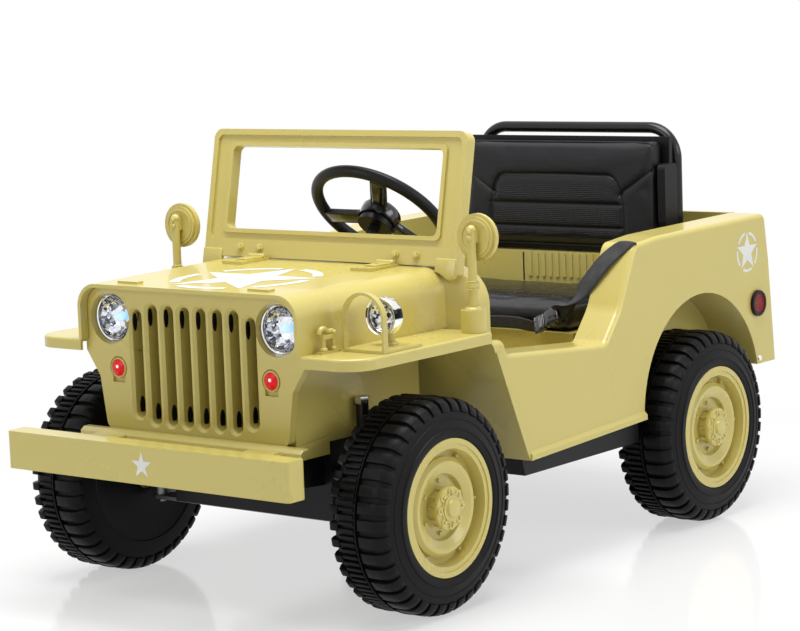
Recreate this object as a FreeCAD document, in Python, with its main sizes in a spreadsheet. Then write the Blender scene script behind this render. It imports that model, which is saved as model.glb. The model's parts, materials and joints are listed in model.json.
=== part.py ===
import FreeCAD, Part
import math
import os
import re

import Sketcher
from FreeCAD import Rotation, Vector

# A child's battery ride-on in the shape of a small open four-wheel-drive field car.
# Frame: +X forward, +Y to the car's left, +Z up, origin on the ground under the middle of the car.
# All lengths are millimetres.

# Each size that can be set by itself is a number. What follows from other sizes is a formula of their names.

SIZES = {
    # Wheels and tyres
    "rim_radius": 105,
    "tyre_height": 60,
    "wheel_radius": "rim_radius + tyre_height",
    "tyre_inner_y": 258,
    "tyre_width": 110,
    "tyre_outer_y": "tyre_inner_y + tyre_width",
    "shoulder_drop": 14,
    "sidewall_drop": 40,
    "sidewall_inset": 6,
    "shoulder_inset": 16,
    "bead_inset": 4,
    "bead_width": 10,
    "lug_count": 28,
    "lug_length": 26,
    "lug_height": 6,
    "lug_proud": 3,
    "tyre_web": 6,
    "front_axle_x": 374,
    "rear_axle_x": -392,
    "spindle_radius": 6,
    "spindle_end": 6,
    "spindle_end_y": "tyre_outer_y - spindle_end",
    "running_gap": 0.3,
    "pin_gap": 0.075,
    "seat_gap": 0.3,
    "rim_flange": 16,
    "rim_inset": 2,
    "well_width": 13,
    "ring_inset": 11,
    "ring_y": "tyre_outer_y - ring_inset",
    "ring_edge": 6,
    "hub_room": 21,
    "hub_waist": 3,
    "hub_plate": 6,
    "dish_inset": 25,
    "dish_y": "tyre_outer_y - dish_inset",
    "hub_radius": 30,
    "hub_face_y": "tyre_outer_y - rim_inset",
    "cap_radius": 13,
    "cap_step": 7,
    "cap_rise": 7,
    "cap_y": "hub_face_y + cap_rise",
    # Steering gear
    "kingpin_inset": 30,
    "kingpin_y": "tyre_inner_y - kingpin_inset",
    "kingpin_radius": 6,
    "knuckle_wall": 6,
    "knuckle_radius": "kingpin_radius + knuckle_wall",
    "knuckle_half_height": 35,
    "knuckle_low_z": "wheel_radius - knuckle_half_height",
    "knuckle_high_z": "wheel_radius + knuckle_half_height",
    "ear_thickness": 6,
    "ear_half_length": 15,
    "ear_flat": 1,
    "steering_arm": 62,
    "arm_width": 20,
    "arm_thickness": 6,
    "tie_pin_radius": 4,
    "tie_pin_length": 18,
    "tie_rod_radius": 5,
    "tie_rod_drop": 10,
    "tie_eye_height": 16,
    # Chassis
    "chassis_bottom_z": 165,
    "sill_inset": 13,
    "chassis_half_width": "side_outer_y - sill_inset",
    "sill_chamfer": 7,
    "spine_overlap": 40,
    "spine_toe": 10,
    "spine_half_width": 150,
    "spine_top_z": 262,
    "nose_lead": 2,
    "nose_x": "hood_front_x + nose_lead",
    "nose_length": 62,
    "nose_height": 40,
    "nose_half_width": "bay_half_width - nose_lead",
    "nose_rise": 30,
    "axle_block_inset": 63,
    "axle_block_half_width": "kingpin_y - axle_block_inset",
    "axle_block_half_length": 34,
    "rear_block_half_width": "gearbox_inner_y - seat_gap",
    "rear_block_inset": 51,
    "rear_block_x": "tail_x + rear_block_inset",
    "rear_block_drop": 20,
    "bed_bottom_z": 252,
    "panel": 8,
    "hook_x": 490,
    "hook_y": 165,
    "hook_thickness": 6,
    "hook_reach": 18,
    "hook_low_z": 194,
    "hook_tip": 14,
    # Body sides
    "well_clearance": 8,
    "well_panel": 10,
    "well_inner_y": "tyre_inner_y - well_clearance - well_panel",
    "well_step": 30,
    "side_inner_y": "well_inner_y + well_step",
    "side_depth": 65,
    "side_outer_y": "side_inner_y + side_depth",
    "side_corner": 14,
    "side_round": 9,
    "pillar_foot_corner": 60,
    "pillar_corner": 22,
    "strip_proud": 2.5,
    "strip_width": 9,
    "lip_proud": 6,
    "lip_height": 14,
    "well_toe": 12,
    "arch_toe": 4,
    "tail_skirt": 12,
    "arch_gap": 24,
    "arch_radius": "wheel_radius + arch_gap",
    "arch_rise": 41,
    "arch_z": "wheel_radius + arch_rise",
    "arch_back": 6,
    "arch_x": "rear_axle_x - arch_back",
    "well_roof": 5,
    "well_top_z": "arch_z + arch_radius + well_roof",
    "cowl_front_x": 215,
    "cowl_side_drop": 16,
    "cowl_side_z": "fender_top_z - cowl_side_drop",
    "sill_front_inset": 34,
    "sill_front_x": "cowl_front_x - sill_front_inset",
    "sill_front_z": 368,
    "sill_rear_x": -98,
    "sill_rear_z": 347,
    "pillar_low_x": -142,
    "pillar_low_z": 398,
    "pillar_high_x": -193,
    "pillar_high_z": 501,
    "rail_front_x": -269,
    "rail_front_z": 508,
    "rail_rear_x": -619,
    "rail_rear_z": 514,
    "tail_bend_x": -633,
    "tail_bend_z": 428,
    "tail_x": -651,
    "tail_bottom_z": 246,
    "side_rear_x": "arch_x + arch_radius",
    "side_rear_z": 205,
    "side_front_x": 127,
    "side_front_z": 192,
    "tail_panel": 14,
    # Fenders and engine bay
    "fender_top_z": 408,
    "fender_lip": 18,
    "fender_panel": 5,
    "fender_front_x": 543,
    "fender_corner": 46,
    "fender_round": 4,
    "latch_x": 492,
    "latch_length": 44,
    "latch_offset": 7,
    "latch_width": 13,
    "latch_plate": 3,
    "latch_radius": 3.5,
    "latch_height": 28,
    "bay_inset": 38,
    "bay_half_width": "kingpin_y - bay_inset",
    "bay_panel": 8,
    # Hood, grille and lamps
    "hood_lead": 3,
    "hood_front_x": "fender_front_x + hood_lead",
    "hood_flare": 36,
    "hood_front_half_width": "bay_half_width + hood_flare",
    "hood_taper": 14,
    "hood_rear_half_width": "hood_front_half_width + hood_taper",
    "hood_height": 89,
    "hood_front_z": "fender_top_z + hood_height",
    "hood_rise": 5,
    "hood_rear_z": "hood_front_z + hood_rise",
    "hood_panel": 6,
    "hood_corner": 38,
    "pad_length": 68,
    "buffer_length": 14,
    "buffer_y": 135,
    "buffer_width": 42,
    "buffer_rise": 4,
    "grille_setback": 16,
    "grille_front_x": "hood_front_x - grille_setback",
    "grille_panel": 14,
    "grille_rear_x": "grille_front_x - grille_panel",
    "grille_rise": 6,
    "grille_bottom_z": "spine_top_z + grille_rise",
    "grille_inset": 3,
    "grille_bottom_half_width": "bay_half_width - grille_inset",
    "grille_flare": 12,
    "grille_waist_half_width": "grille_bottom_half_width + grille_flare",
    "grille_step_z": "fender_top_z - fender_lip",
    "grille_waist_drop": 40,
    "grille_waist_z": "grille_step_z - grille_waist_drop",
    "grille_corner": 12,
    "slot_count": 8,
    "slot_width": 20,
    "slot_depth": 26,
    "slot_bevel": 4.5,
    "outer_slot_inset": 9,
    "slot_spacing": 13.4,
    "slot_rise": 12,
    "slot_bottom_z": "grille_bottom_z + slot_rise",
    "slot_drop": 31,
    "slot_top_z": "hood_front_z - slot_drop",
    "slot_pitch": "(headlamp_y - headlamp_recess - slot_spacing) / ((slot_count - 1) / 2)",
    "headlamp_inset": 54,
    "headlamp_y": "hood_front_half_width - headlamp_inset",
    "headlamp_drop": 55,
    "headlamp_z": "hood_front_z - headlamp_drop",
    "headlamp_radius": 36,
    "headlamp_rim": 5,
    "headlamp_recess": "headlamp_radius + headlamp_rim",
    "bowl_depth": 22,
    "bulb_radius": 9,
    "lens_bulge": 10,
    "marker_inset": 14,
    "marker_y": "headlamp_y - marker_inset",
    "marker_rise": 15,
    "marker_z": "grille_waist_z + marker_rise",
    "marker_radius": 13,
    "marker_rim": 5,
    "marker_recess_radius": "marker_radius + marker_rim",
    "marker_recess": 5,
    "marker_bulge": 3,
    # Cowl, dashboard and windscreen frame
    "seam_back": 11,
    "seam_x": "cowl_front_x - seam_back",
    "cowl_depth": 54,
    "cowl_rear_x": "seam_x - cowl_depth",
    "cowl_overhang": 15,
    "cowl_half_width": "side_inner_y + cowl_overhang",
    "cowl_drop": 2,
    "cowl_top_z": "hood_rear_z - cowl_drop",
    "cowl_corner": 60,
    "cowl_shoulder": 24,
    "dash_inset": 85,
    "dash_half_width": "cowl_half_width - dash_inset",
    "dash_panel": 6,
    "dash_height": 100,
    "dash_bottom_z": "cowl_top_z - dash_height",
    "dash_corner": 20,
    "screen_inset": 20,
    "screen_half_width": "cowl_half_width - screen_inset",
    "screen_height": 213,
    "screen_lead": 3,
    "screen_foot_x": "seam_x + screen_lead",
    "screen_rake": 11.4,
    "screen_thickness": 20,
    "screen_corner": 16,
    "screen_foot": 12,
    "screen_border": 10,
    "screen_lip": 7,
    "screen_recess": 4,
    "screen_side": 45,
    "opening_half_width": "screen_half_width - screen_side",
    "opening_bottom": 47,
    "screen_header": 28.4,
    "opening_corner": 10,
    # Bumper
    "bumper_front_x": 651,
    "bumper_thickness": 38,
    "bumper_rear_x": "bumper_front_x - bumper_thickness",
    "bumper_half_width": 289,
    "bumper_bottom_z": 215,
    "bumper_height": 59,
    "bumper_top_z": "bumper_bottom_z + bumper_height",
    "bumper_corner": 6,
    "bracket_width": 60,
    "bracket_height": 18,
    "bracket_plate": 3,
    "bracket_reach": 105,
    "bracket_rise": 10,
    # Steering wheel
    "steering_x": 60,
    "steering_z": 564.5,
    "column_angle": 46.5,
    "steering_radius": 115.6,
    "steering_tube": 10,
    "steering_hub_radius": 30,
    "steering_hub_height": 34,
    "steering_hub_rise": 8,
    "column_radius": 9,
    "column_length": 168,
    "sleeve_radius": 14,
    "sleeve_length": 62,
    "sleeve_slot": 34,
    "spoke_width": 26,
    "spoke_thickness": 9,
    # Seat
    "seat_rear_x": -436,
    "seat_length": 280,
    "seat_front_x": "seat_rear_x + seat_length",
    "seat_side_gap": 12,
    "seat_half_width": "well_inner_y - seat_side_gap",
    "seat_base_z": 350,
    "seat_thickness": 48,
    "seat_top_z": "seat_base_z + seat_thickness",
    "seat_box_inset": 4,
    "cushion_corner": 22,
    "bulkhead_panel": 12,
    "shelf_z": 450,
    "shelf_depth": 73,
    "shelf_rear_x": "seat_rear_x - shelf_depth",
    "bulkhead_ribs": 19,
    "bulkhead_rib_start": -55,
    "bulkhead_rib_pitch": 15,
    "bulkhead_rib_width": 7,
    "bulkhead_rib_depth": 3,
    "back_inset": 10,
    "back_front_low_x": "seat_rear_x - back_inset",
    "back_lean": 5,
    "back_front_high_x": "back_front_low_x - back_lean",
    "back_thickness": 40,
    "back_corner": 14,
    "back_rise": 8,
    "back_bottom_z": "shelf_z + back_rise",
    "back_height": 196,
    "back_top_z": "back_bottom_z + back_height",
    "back_side_inset": 15,
    "back_half_width": "seat_half_width - back_side_inset",
    "shell_rim": 4,
    "shell_panel": 10,
    "shell_side": 16,
    "shell_side_inset": 42,
    "battery_length": 110,
    "battery_width": 180,
    "battery_height": 95,
    # Roll bar
    "bar_gap": 1,
    "bar_radius": 10,
    "bar_x": "shelf_rear_x - bar_radius - bar_gap",
    "bar_half_width": "back_half_width",
    "bar_rise": 18,
    "bar_top_z": "back_top_z + bar_rise",
    "bar_bend": 55,
    # Mirrors
    "mirror_inset": 25,
    "mirror_y": "side_outer_y - mirror_inset",
    "mirror_lead": 11,
    "mirror_base_x": "cowl_front_x + mirror_lead",
    "mirror_base_radius": 20,
    "mirror_base_height": 35,
    "mirror_base_z": "fender_top_z + mirror_base_height",
    "mirror_post_radius": 7,
    "mirror_post_end": 12,
    "mirror_collar": 3,
    "mirror_collar_height": 8,
    "mirror_collar_rise": 34,
    "mirror_setback": 20,
    "mirror_x": "mirror_base_x - mirror_setback",
    "mirror_rise": 110,
    "mirror_z": "mirror_base_z + mirror_rise",
    "mirror_radius": 37,
    "mirror_thickness": 11,
    "mirror_step": 4,
    "mirror_rim": 5,
    # Spot lamp on the left fender
    "spot_x": 412,
    "spot_offset": 2.5,
    "spot_y": "(hood_rear_half_width + side_outer_y) / 2 + spot_offset",
    "spot_rise": 48,
    "spot_z": "fender_top_z + spot_rise",
    "spot_radius": 27,
    "spot_rim": 2.5,
    "spot_length": 34,
    "spot_stem_radius": 5,
    "guard_lead": 56,
    "guard_x": "spot_x + guard_lead",
    "guard_margin": 8,
    "guard_half_width": "(side_outer_y - hood_rear_half_width) / 2 - guard_margin",
    "guard_radius": 5,
    "guard_strap": 4,
    "guard_height": 89,
    "guard_top_z": "fender_top_z + guard_height",
    "guard_tail": 30,
    "spot_plate": 4,
    # Small pieces
    "reflector_inset": 67,
    "reflector_x": "tail_x + reflector_inset",
    "reflector_z": 356,
    "reflector_radius": 23,
    "reflector_thickness": 5,
    "pedal_x": 96,
    "pedal_y": -90,
    "pedal_width": 60,
    "pedal_length": 90,
    "pedal_height": 34,
    "pedal_toe": 6,
    "strut_radius": 10,
    "strut_bolt_radius": 5,
    "strut_gap": 3,
    "strut_top_z": 322,
    "gearbox_radius": 39,
    "gearbox_width": 24,
    "gearbox_outer_y": "tyre_inner_y - well_clearance",
    "gearbox_inner_y": "gearbox_outer_y - gearbox_width",
    "motor_radius": 19,
    "motor_rise": 20,
    "motor_setback": 4,
}

doc = FreeCAD.newDocument("ride_on_field_car")
sheet = doc.addObject("Spreadsheet::Sheet", "Sizes")
for row, alias in enumerate(SIZES, start=1):
    sheet.setAlias("A%d" % row, alias)
for row, size in enumerate(SIZES.values(), start=1):
    sheet.set("A%d" % row, "=" + size if isinstance(size, str) else str(size))
doc.recompute()
parts = []


def bound(expression):
    """The same expression with each size's name pointed at the sheet."""
    return re.sub(r"[a-z_]+", lambda word: "Sizes." + word.group() if word.group() in SIZES else word.group(),
                  str(expression))


def value(expression):
    """What an expression of size names comes to, in millimetres or degrees."""
    return float(sheet.evalExpression(str(expression)))


def mirrored(side, inner, outer):
    """The low and high Y of a stretch that lies from inner to outer on one side of the car."""
    if side > 0:
        return "(%s)" % inner, "(%s)" % outer
    return "-(%s)" % outer, "-(%s)" % inner


def box_loop(low_x, low_y, high_x, high_y, corner=None):
    """A rectangle's corners, sharp or with one radius."""
    corners = [(low_x, low_y), (high_x, low_y), (high_x, high_y), (low_x, high_y)]
    return [point + (corner,) if corner else point for point in corners]


def circle_loop(x, y, radius):
    """A circle, as a loop of its own kind."""
    return ("circle", x, y, radius)


# Sketches

def add_circle(sketch, loop):
    x, y, radius = loop[1:]
    circle = Part.Circle(Vector(value(x), value(y), 0), Vector(0, 0, 1), value(radius))
    index = sketch.addGeometry(circle, False)
    for kind, size in (("DistanceX", x), ("DistanceY", y)):
        number = sketch.addConstraint(Sketcher.Constraint(kind, -1, 1, index, 3, value(size)))
        sketch.setExpression("Constraints[%d]" % number, bound(size))
    number = sketch.addConstraint(Sketcher.Constraint("Radius", index, value(radius)))
    sketch.setExpression("Constraints[%d]" % number, bound(radius))


def corner_arc(centre, radius, start, end):
    """An arc that runs anticlockwise, as a sketch numbers its ends, and which of its ends is which."""
    angles = [math.atan2(point.y - centre.y, point.x - centre.x) for point in (start, end)]
    turned = (start - centre).cross(end - centre).z > 0
    if not turned:
        angles.reverse()
    circle = Part.Circle(centre, Vector(0, 0, 1), radius)
    return Part.ArcOfCircle(circle, angles[0], angles[1]), (1, 2) if turned else (2, 1)


def corner_points(corners, index):
    """Where the two straight sides beside a corner end: at the corner, or where its arc begins."""
    here = Vector(value(corners[index][0]), value(corners[index][1]), 0)
    if len(corners[index]) < 3:
        return here, here, None
    before = corners[index - 1]
    after = corners[(index + 1) % len(corners)]
    back = Vector(value(before[0]), value(before[1]), 0).sub(here).normalize()
    on = Vector(value(after[0]), value(after[1]), 0).sub(here).normalize()
    radius = value(corners[index][2])
    half = back.getAngle(on) / 2
    reach = radius / math.tan(half)
    start = here + back * reach
    end = here + on * reach
    centre = here + (back + on).normalize() * (radius / math.sin(half))
    return start, end, corner_arc(centre, radius, start, end)


def add_polygon(sketch, corners):
    """A closed outline. Each corner is (x, y) or, where it is rounded, (x, y, radius)."""
    count = len(corners)
    ends = [corner_points(corners, index) for index in range(count)]
    lines = []
    for index in range(count):
        following = (index + 1) % count
        lines.append(sketch.addGeometry(Part.LineSegment(ends[index][1], ends[following][0]), False))
    for index, corner in enumerate(corners):
        coming, going = lines[index - 1], lines[index]
        if ends[index][2] is None:
            sketch.addConstraint(Sketcher.Constraint("Coincident", coming, 2, going, 1))
            anchor, place = going, 1
        else:
            shape, (first, second) = ends[index][2]
            arc = sketch.addGeometry(shape, False)
            sketch.addConstraint(Sketcher.Constraint("Tangent", coming, 2, arc, first))
            sketch.addConstraint(Sketcher.Constraint("Tangent", going, 1, arc, second))
            number = sketch.addConstraint(Sketcher.Constraint("Radius", arc, value(corner[2])))
            sketch.setExpression("Constraints[%d]" % number, bound(corner[2]))
            anchor = sketch.addGeometry(Part.Point(Vector(value(corner[0]), value(corner[1]), 0)), True)
            place = 1
            sketch.addConstraint(Sketcher.Constraint("PointOnObject", anchor, 1, coming))
            sketch.addConstraint(Sketcher.Constraint("PointOnObject", anchor, 1, going))
        for kind, size in (("DistanceX", corner[0]), ("DistanceY", corner[1])):
            number = sketch.addConstraint(Sketcher.Constraint(kind, -1, 1, anchor, place, value(size)))
            sketch.setExpression("Constraints[%d]" % number, bound(size))


def sketch_on(body, plane, level, loops):
    """A sketch on one of the body's own origin planes, moved to a level along its axis."""
    sketch = body.newObject("Sketcher::SketchObject", body.Name + "_sketch")
    origin_plane = [item for item in body.Origin.OriginFeatures if item.Role == plane + "_Plane"][0]
    sketch.AttachmentSupport = [(origin_plane, "")]
    sketch.MapMode = "FlatFace"
    signed = "-(%s)" % level if plane == "XZ" else "(%s)" % level
    sketch.AttachmentOffset = FreeCAD.Placement(Vector(0, 0, value(signed)), Rotation())
    sketch.setExpression("AttachmentOffset.Base.z", bound(signed))
    for loop in loops:
        if loop[0] == "circle":
            add_circle(sketch, loop)
        else:
            add_polygon(sketch, loop)
    return sketch


# Features

def new_body(label):
    body = doc.addObject("PartDesign::Body", label)
    body.Label = label
    parts.append(body)
    return body


def inner_body(name):
    """A body that is part of a piece and not one by itself."""
    return doc.addObject("PartDesign::Body", name)


def pad(body, plane, low, high, *loops):
    """Adds the loops' area from low to high along the plane's own axis."""
    level = high if plane == "XZ" else low
    feature = body.newObject("PartDesign::Pad", body.Name + "_pad")
    feature.Profile = sketch_on(body, plane, level, loops)
    feature.setExpression("Length", bound("(%s) - (%s)" % (high, low)))
    feature.AllowMultiFace = True
    return feature


def pocket(body, plane, low, high, *loops):
    """Cuts the loops' area from low to high along the plane's own axis."""
    level = low if plane == "XZ" else high
    feature = body.newObject("PartDesign::Pocket", body.Name + "_pocket")
    feature.Profile = sketch_on(body, plane, level, loops)
    feature.setExpression("Length", bound("(%s) - (%s)" % (high, low)))
    feature.AllowMultiFace = True
    return feature


def revolve(body, plane, level, loop, axis="V_Axis"):
    """Turns a closed outline round one of its sketch's own axes."""
    feature = body.newObject("PartDesign::Revolution", body.Name + "_turn")
    sketch = sketch_on(body, plane, level, [loop])
    feature.Profile = sketch
    feature.ReferenceAxis = (sketch, [axis])
    feature.Angle = 360
    return feature


def loft(body, plane, sections):
    """Joins outlines at several levels along the plane's axis."""
    sketches = [sketch_on(body, plane, level, [loop]) for level, loop in sections]
    feature = body.newObject("PartDesign::AdditiveLoft", body.Name + "_loft")
    feature.Profile = sketches[0]
    feature.Sections = sketches[1:]
    feature.Ruled = True
    return feature


def hollow_loft(body, plane, sections):
    """Cuts out what lies between outlines at several levels along the plane's axis."""
    sketches = [sketch_on(body, plane, level, [loop]) for level, loop in sections]
    feature = body.newObject("PartDesign::SubtractiveLoft", body.Name + "_hollow")
    feature.Profile = sketches[0]
    feature.Sections = sketches[1:]
    feature.Ruled = True
    return feature


def round_edges(body, radius, wanted):
    """Rounds each edge of the body that the test picks out."""
    doc.recompute()
    base = body.Tip
    names = ["Edge%d" % number for number, edge in enumerate(base.Shape.Edges, start=1) if wanted(edge)]
    feature = body.newObject("PartDesign::Fillet", body.Name + "_round")
    feature.Base = (base, names)
    feature.setExpression("Radius", bound(radius))
    return feature


def slope_edges(body, size, wanted):
    """Cuts a slope along each edge of the body that the test picks out."""
    doc.recompute()
    base = body.Tip
    names = ["Edge%d" % number for number, edge in enumerate(base.Shape.Edges, start=1) if wanted(edge)]
    feature = body.newObject("PartDesign::Chamfer", body.Name + "_slope")
    feature.Base = (base, names)
    feature.setExpression("Size", bound(size))
    return feature


def round_axle(body, count, features):
    """Repeats features of a wheel all the way round its axle."""
    pattern = body.newObject("PartDesign::PolarPattern", body.Name + "_pattern")
    pattern.Originals = features
    axis = [item for item in body.Origin.OriginFeatures if item.Role == "Y_Axis"][0]
    pattern.Axis = (axis, [""])
    pattern.Angle = 360
    pattern.setExpression("Occurrences", bound(count))
    body.Tip = pattern
    return pattern


def middle_of(edge):
    return edge.BoundBox.Center


def lies_at(edge, letter, level):
    """Whether an edge's ends and middle are all at one level along X, Y or Z."""
    points = [vertex.Point for vertex in edge.Vertexes] + [middle_of(edge)]
    return all(abs(getattr(point, letter) - level) < CLOSE for point in points)


def place(item, x="0", y="0", z="0", rotation=None):
    """Puts a primitive or a body at a place worked out from the sizes."""
    item.Placement = FreeCAD.Placement(Vector(value(x), value(y), value(z)), rotation or Rotation())
    for letter, size in (("x", x), ("y", y), ("z", z)):
        item.setExpression("Placement.Base." + letter, bound(size))
    return item


def cylinder(name, radius, length, x, y, z, rotation=None):
    item = doc.addObject("Part::Cylinder", name)
    item.setExpression("Radius", bound(radius))
    item.setExpression("Height", bound(length))
    return place(item, x, y, z, rotation)


def block(name, length, width, height, x, y, z, rotation=None):
    item = doc.addObject("Part::Box", name)
    item.setExpression("Length", bound(length))
    item.setExpression("Width", bound(width))
    item.setExpression("Height", bound(height))
    return place(item, x, y, z, rotation)


def fuse(label, shapes):
    item = doc.addObject("Part::MultiFuse", label)
    item.Label = label
    item.Shapes = shapes
    parts.append(item)
    return item


def together(label, shapes):
    """Separate solids of one kind kept as one piece."""
    item = doc.addObject("Part::Compound", label)
    item.Label = label
    item.Links = shapes
    parts.append(item)
    return item


def only(label, item):
    item.Label = label
    parts.append(item)
    return item


ALONG_X = Rotation(Vector(0, 1, 0), 90)
ALONG_Y = Rotation(Vector(1, 0, 0), -90)
SIDES = (("left", 1), ("right", -1))
SPOKE_ANGLES = (-90, 30, 150)
SLOT_TAPER = -45
CLOSE = 0.05


# Chassis

def make_chassis():
    body = new_body("chassis")
    pad(body, "XZ", "-chassis_half_width", "chassis_half_width", [
        ("side_rear_x", "chassis_bottom_z"),
        ("side_front_x - sill_chamfer", "chassis_bottom_z"),
        ("side_front_x", "side_front_z - seat_gap"),
        ("side_rear_x", "side_rear_z - seat_gap")])
    pad(body, "XZ", "-spine_half_width", "spine_half_width", [
        ("side_front_x - spine_overlap", "chassis_bottom_z"),
        ("nose_x", "chassis_bottom_z + nose_rise"),
        ("nose_x", "spine_top_z - seat_gap"),
        ("cowl_front_x", "spine_top_z - seat_gap"),
        ("side_front_x + spine_toe", "side_front_z - seat_gap"),
        ("side_front_x - spine_overlap", "side_front_z - seat_gap")])
    pad(body, "XZ", "-nose_half_width", "nose_half_width",
        box_loop("nose_x - nose_length", "spine_top_z - nose_height", "nose_x", "spine_top_z - seat_gap"))
    pad(body, "XZ", "-axle_block_half_width", "axle_block_half_width",
        box_loop("front_axle_x - axle_block_half_length", "knuckle_low_z", "front_axle_x + axle_block_half_length",
                 "spine_top_z - seat_gap"))
    pad(body, "XZ", "-rear_block_half_width", "rear_block_half_width", [
        ("side_rear_x + seat_gap", "chassis_bottom_z"),
        ("side_rear_x + seat_gap", "side_rear_z - seat_gap"),
        ("seat_rear_x - bulkhead_panel", "side_rear_z - seat_gap"),
        ("seat_rear_x - bulkhead_panel", "bed_bottom_z - seat_gap"),
        ("rear_block_x", "bed_bottom_z - seat_gap"),
        ("rear_block_x", "chassis_bottom_z + nose_rise"),
        ("rear_axle_x - axle_block_half_length", "wheel_radius - rear_block_drop"),
        ("rear_axle_x + axle_block_half_length", "wheel_radius - rear_block_drop")])
    pocket(body, "XZ", "-rear_block_half_width", "rear_block_half_width",
           circle_loop("rear_axle_x", "wheel_radius", "spindle_radius + running_gap"))
    pocket(body, "XZ", "-axle_block_half_width", "axle_block_half_width",
           box_loop("front_axle_x - ear_half_length - seat_gap", "knuckle_high_z",
                    "front_axle_x + ear_half_length + seat_gap", "knuckle_high_z + ear_thickness + 2 * seat_gap"))
    hook_shape(body)


def hook_shape(body):
    """The bent hook that hangs below the nose on each side."""
    for name, side in SIDES:
        low, high = mirrored(side, "hook_y - hook_thickness / 2", "hook_y + hook_thickness / 2")
        pad(body, "XZ", low, high, [
            ("hook_x - hook_thickness", "spine_top_z - nose_height"),
            ("hook_x", "spine_top_z - nose_height"),
            ("hook_x", "hook_low_z + hook_thickness"),
            ("hook_x + hook_reach - hook_thickness", "hook_low_z + hook_thickness"),
            ("hook_x + hook_reach - hook_thickness", "hook_low_z + hook_tip"),
            ("hook_x + hook_reach", "hook_low_z + hook_tip"),
            ("hook_x + hook_reach", "hook_low_z", "hook_thickness"),
            ("hook_x - hook_thickness", "hook_low_z", "hook_thickness")])


def make_axles():
    rear = cylinder("rear_axle", "spindle_radius", "2 * spindle_end_y", "rear_axle_x", "-spindle_end_y",
                    "wheel_radius", ALONG_Y)
    only("rear_axle", rear)
    body = new_body("front_axle")
    plates = [box_loop("front_axle_x - ear_half_length", "-(kingpin_y + ear_half_length)",
                       "front_axle_x + ear_half_length", "kingpin_y + ear_half_length", "ear_half_length - ear_flat")]
    pad(body, "XY", "knuckle_low_z - seat_gap - ear_thickness", "knuckle_low_z - seat_gap", *plates)
    pins = [circle_loop("front_axle_x", "kingpin_y", "kingpin_radius"),
            circle_loop("front_axle_x", "-kingpin_y", "kingpin_radius")]
    pad(body, "XY", "knuckle_low_z - 2 * ear_thickness - seat_gap", "knuckle_high_z + 2 * ear_thickness", *pins)
    pad(body, "XY", "knuckle_high_z + seat_gap", "knuckle_high_z + seat_gap + ear_thickness", *plates)


def make_struts():
    solids = []
    for name, side in SIDES:
        low = "knuckle_high_z + 2 * seat_gap + ear_thickness"
        strut_y = "(bay_half_width + strut_radius + strut_gap)"
        tube = cylinder("strut_tube_" + name, "strut_radius", "strut_top_z - (%s)" % low, "front_axle_x",
                        "%d * %s" % (side, strut_y), low)
        low_y, high_y = mirrored(side, "bay_half_width + seat_gap", strut_y)
        bolt = cylinder("strut_bolt_" + name, "strut_bolt_radius", "(%s) - (%s)" % (high_y, low_y), "front_axle_x",
                        low_y, "strut_top_z - strut_radius", ALONG_Y)
        joined = doc.addObject("Part::Fuse", "strut_" + name)
        joined.Base = tube
        joined.Tool = bolt
        solids.append(joined)
    together("struts", solids)


def make_drive_units():
    solids = []
    for name, side in SIDES:
        low, high = mirrored(side, "gearbox_inner_y", "gearbox_outer_y")
        case = cylinder("gear_case_" + name, "gearbox_radius", "gearbox_width", "rear_axle_x", low, "wheel_radius",
                        ALONG_Y)
        motor = cylinder("motor_" + name, "motor_radius", "gearbox_width",
                         "rear_axle_x - gearbox_radius - motor_setback", low, "wheel_radius + motor_rise", ALONG_Y)
        joined = doc.addObject("Part::Fuse", "drive_solid_" + name)
        joined.Base = case
        joined.Tool = motor
        bore = cylinder("drive_bore_" + name, "spindle_radius + running_gap", "gearbox_outer_y", "rear_axle_x",
                        "0" if side > 0 else "-gearbox_outer_y", "wheel_radius", ALONG_Y)
        cut = doc.addObject("Part::Cut", "drive_" + name)
        cut.Base = joined
        cut.Tool = bore
        solids.append(cut)
    together("drive_units", solids)


# Wheels

def make_tyre():
    """A left tyre about its own axle, with block lugs that run over both shoulders."""
    body = inner_body("tyre")
    revolve(body, "XY", "0", [
        ("rim_radius + running_gap", "tyre_outer_y - bead_inset"),
        ("rim_radius + bead_width", "tyre_outer_y"),
        ("wheel_radius - sidewall_drop", "tyre_outer_y - bead_inset"),
        ("wheel_radius - shoulder_drop", "tyre_outer_y - sidewall_inset"),
        ("wheel_radius - lug_height", "tyre_outer_y - shoulder_inset"),
        ("wheel_radius - lug_height", "tyre_inner_y + shoulder_inset"),
        ("wheel_radius - shoulder_drop", "tyre_inner_y + sidewall_inset"),
        ("rim_radius + bead_width", "tyre_inner_y"),
        ("hub_radius", "tyre_inner_y"),
        ("hub_radius", "tyre_inner_y + tyre_web"),
        ("rim_radius + running_gap", "tyre_inner_y + tyre_web")])
    lug = pad(body, "YZ", "-lug_length / 2", "lug_length / 2", [
        ("tyre_inner_y + shoulder_inset", "wheel_radius - 2 * lug_height"),
        ("tyre_outer_y - shoulder_inset", "wheel_radius - 2 * lug_height"),
        ("tyre_outer_y - sidewall_inset + lug_proud", "wheel_radius - shoulder_drop"),
        ("tyre_outer_y - sidewall_inset + lug_proud", "wheel_radius - shoulder_drop + lug_height"),
        ("tyre_outer_y - shoulder_inset", "wheel_radius"),
        ("tyre_inner_y + shoulder_inset", "wheel_radius"),
        ("tyre_inner_y + sidewall_inset - lug_proud", "wheel_radius - shoulder_drop + lug_height"),
        ("tyre_inner_y + sidewall_inset - lug_proud", "wheel_radius - shoulder_drop")])
    round_axle(body, "lug_count", [lug])
    return body


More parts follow.
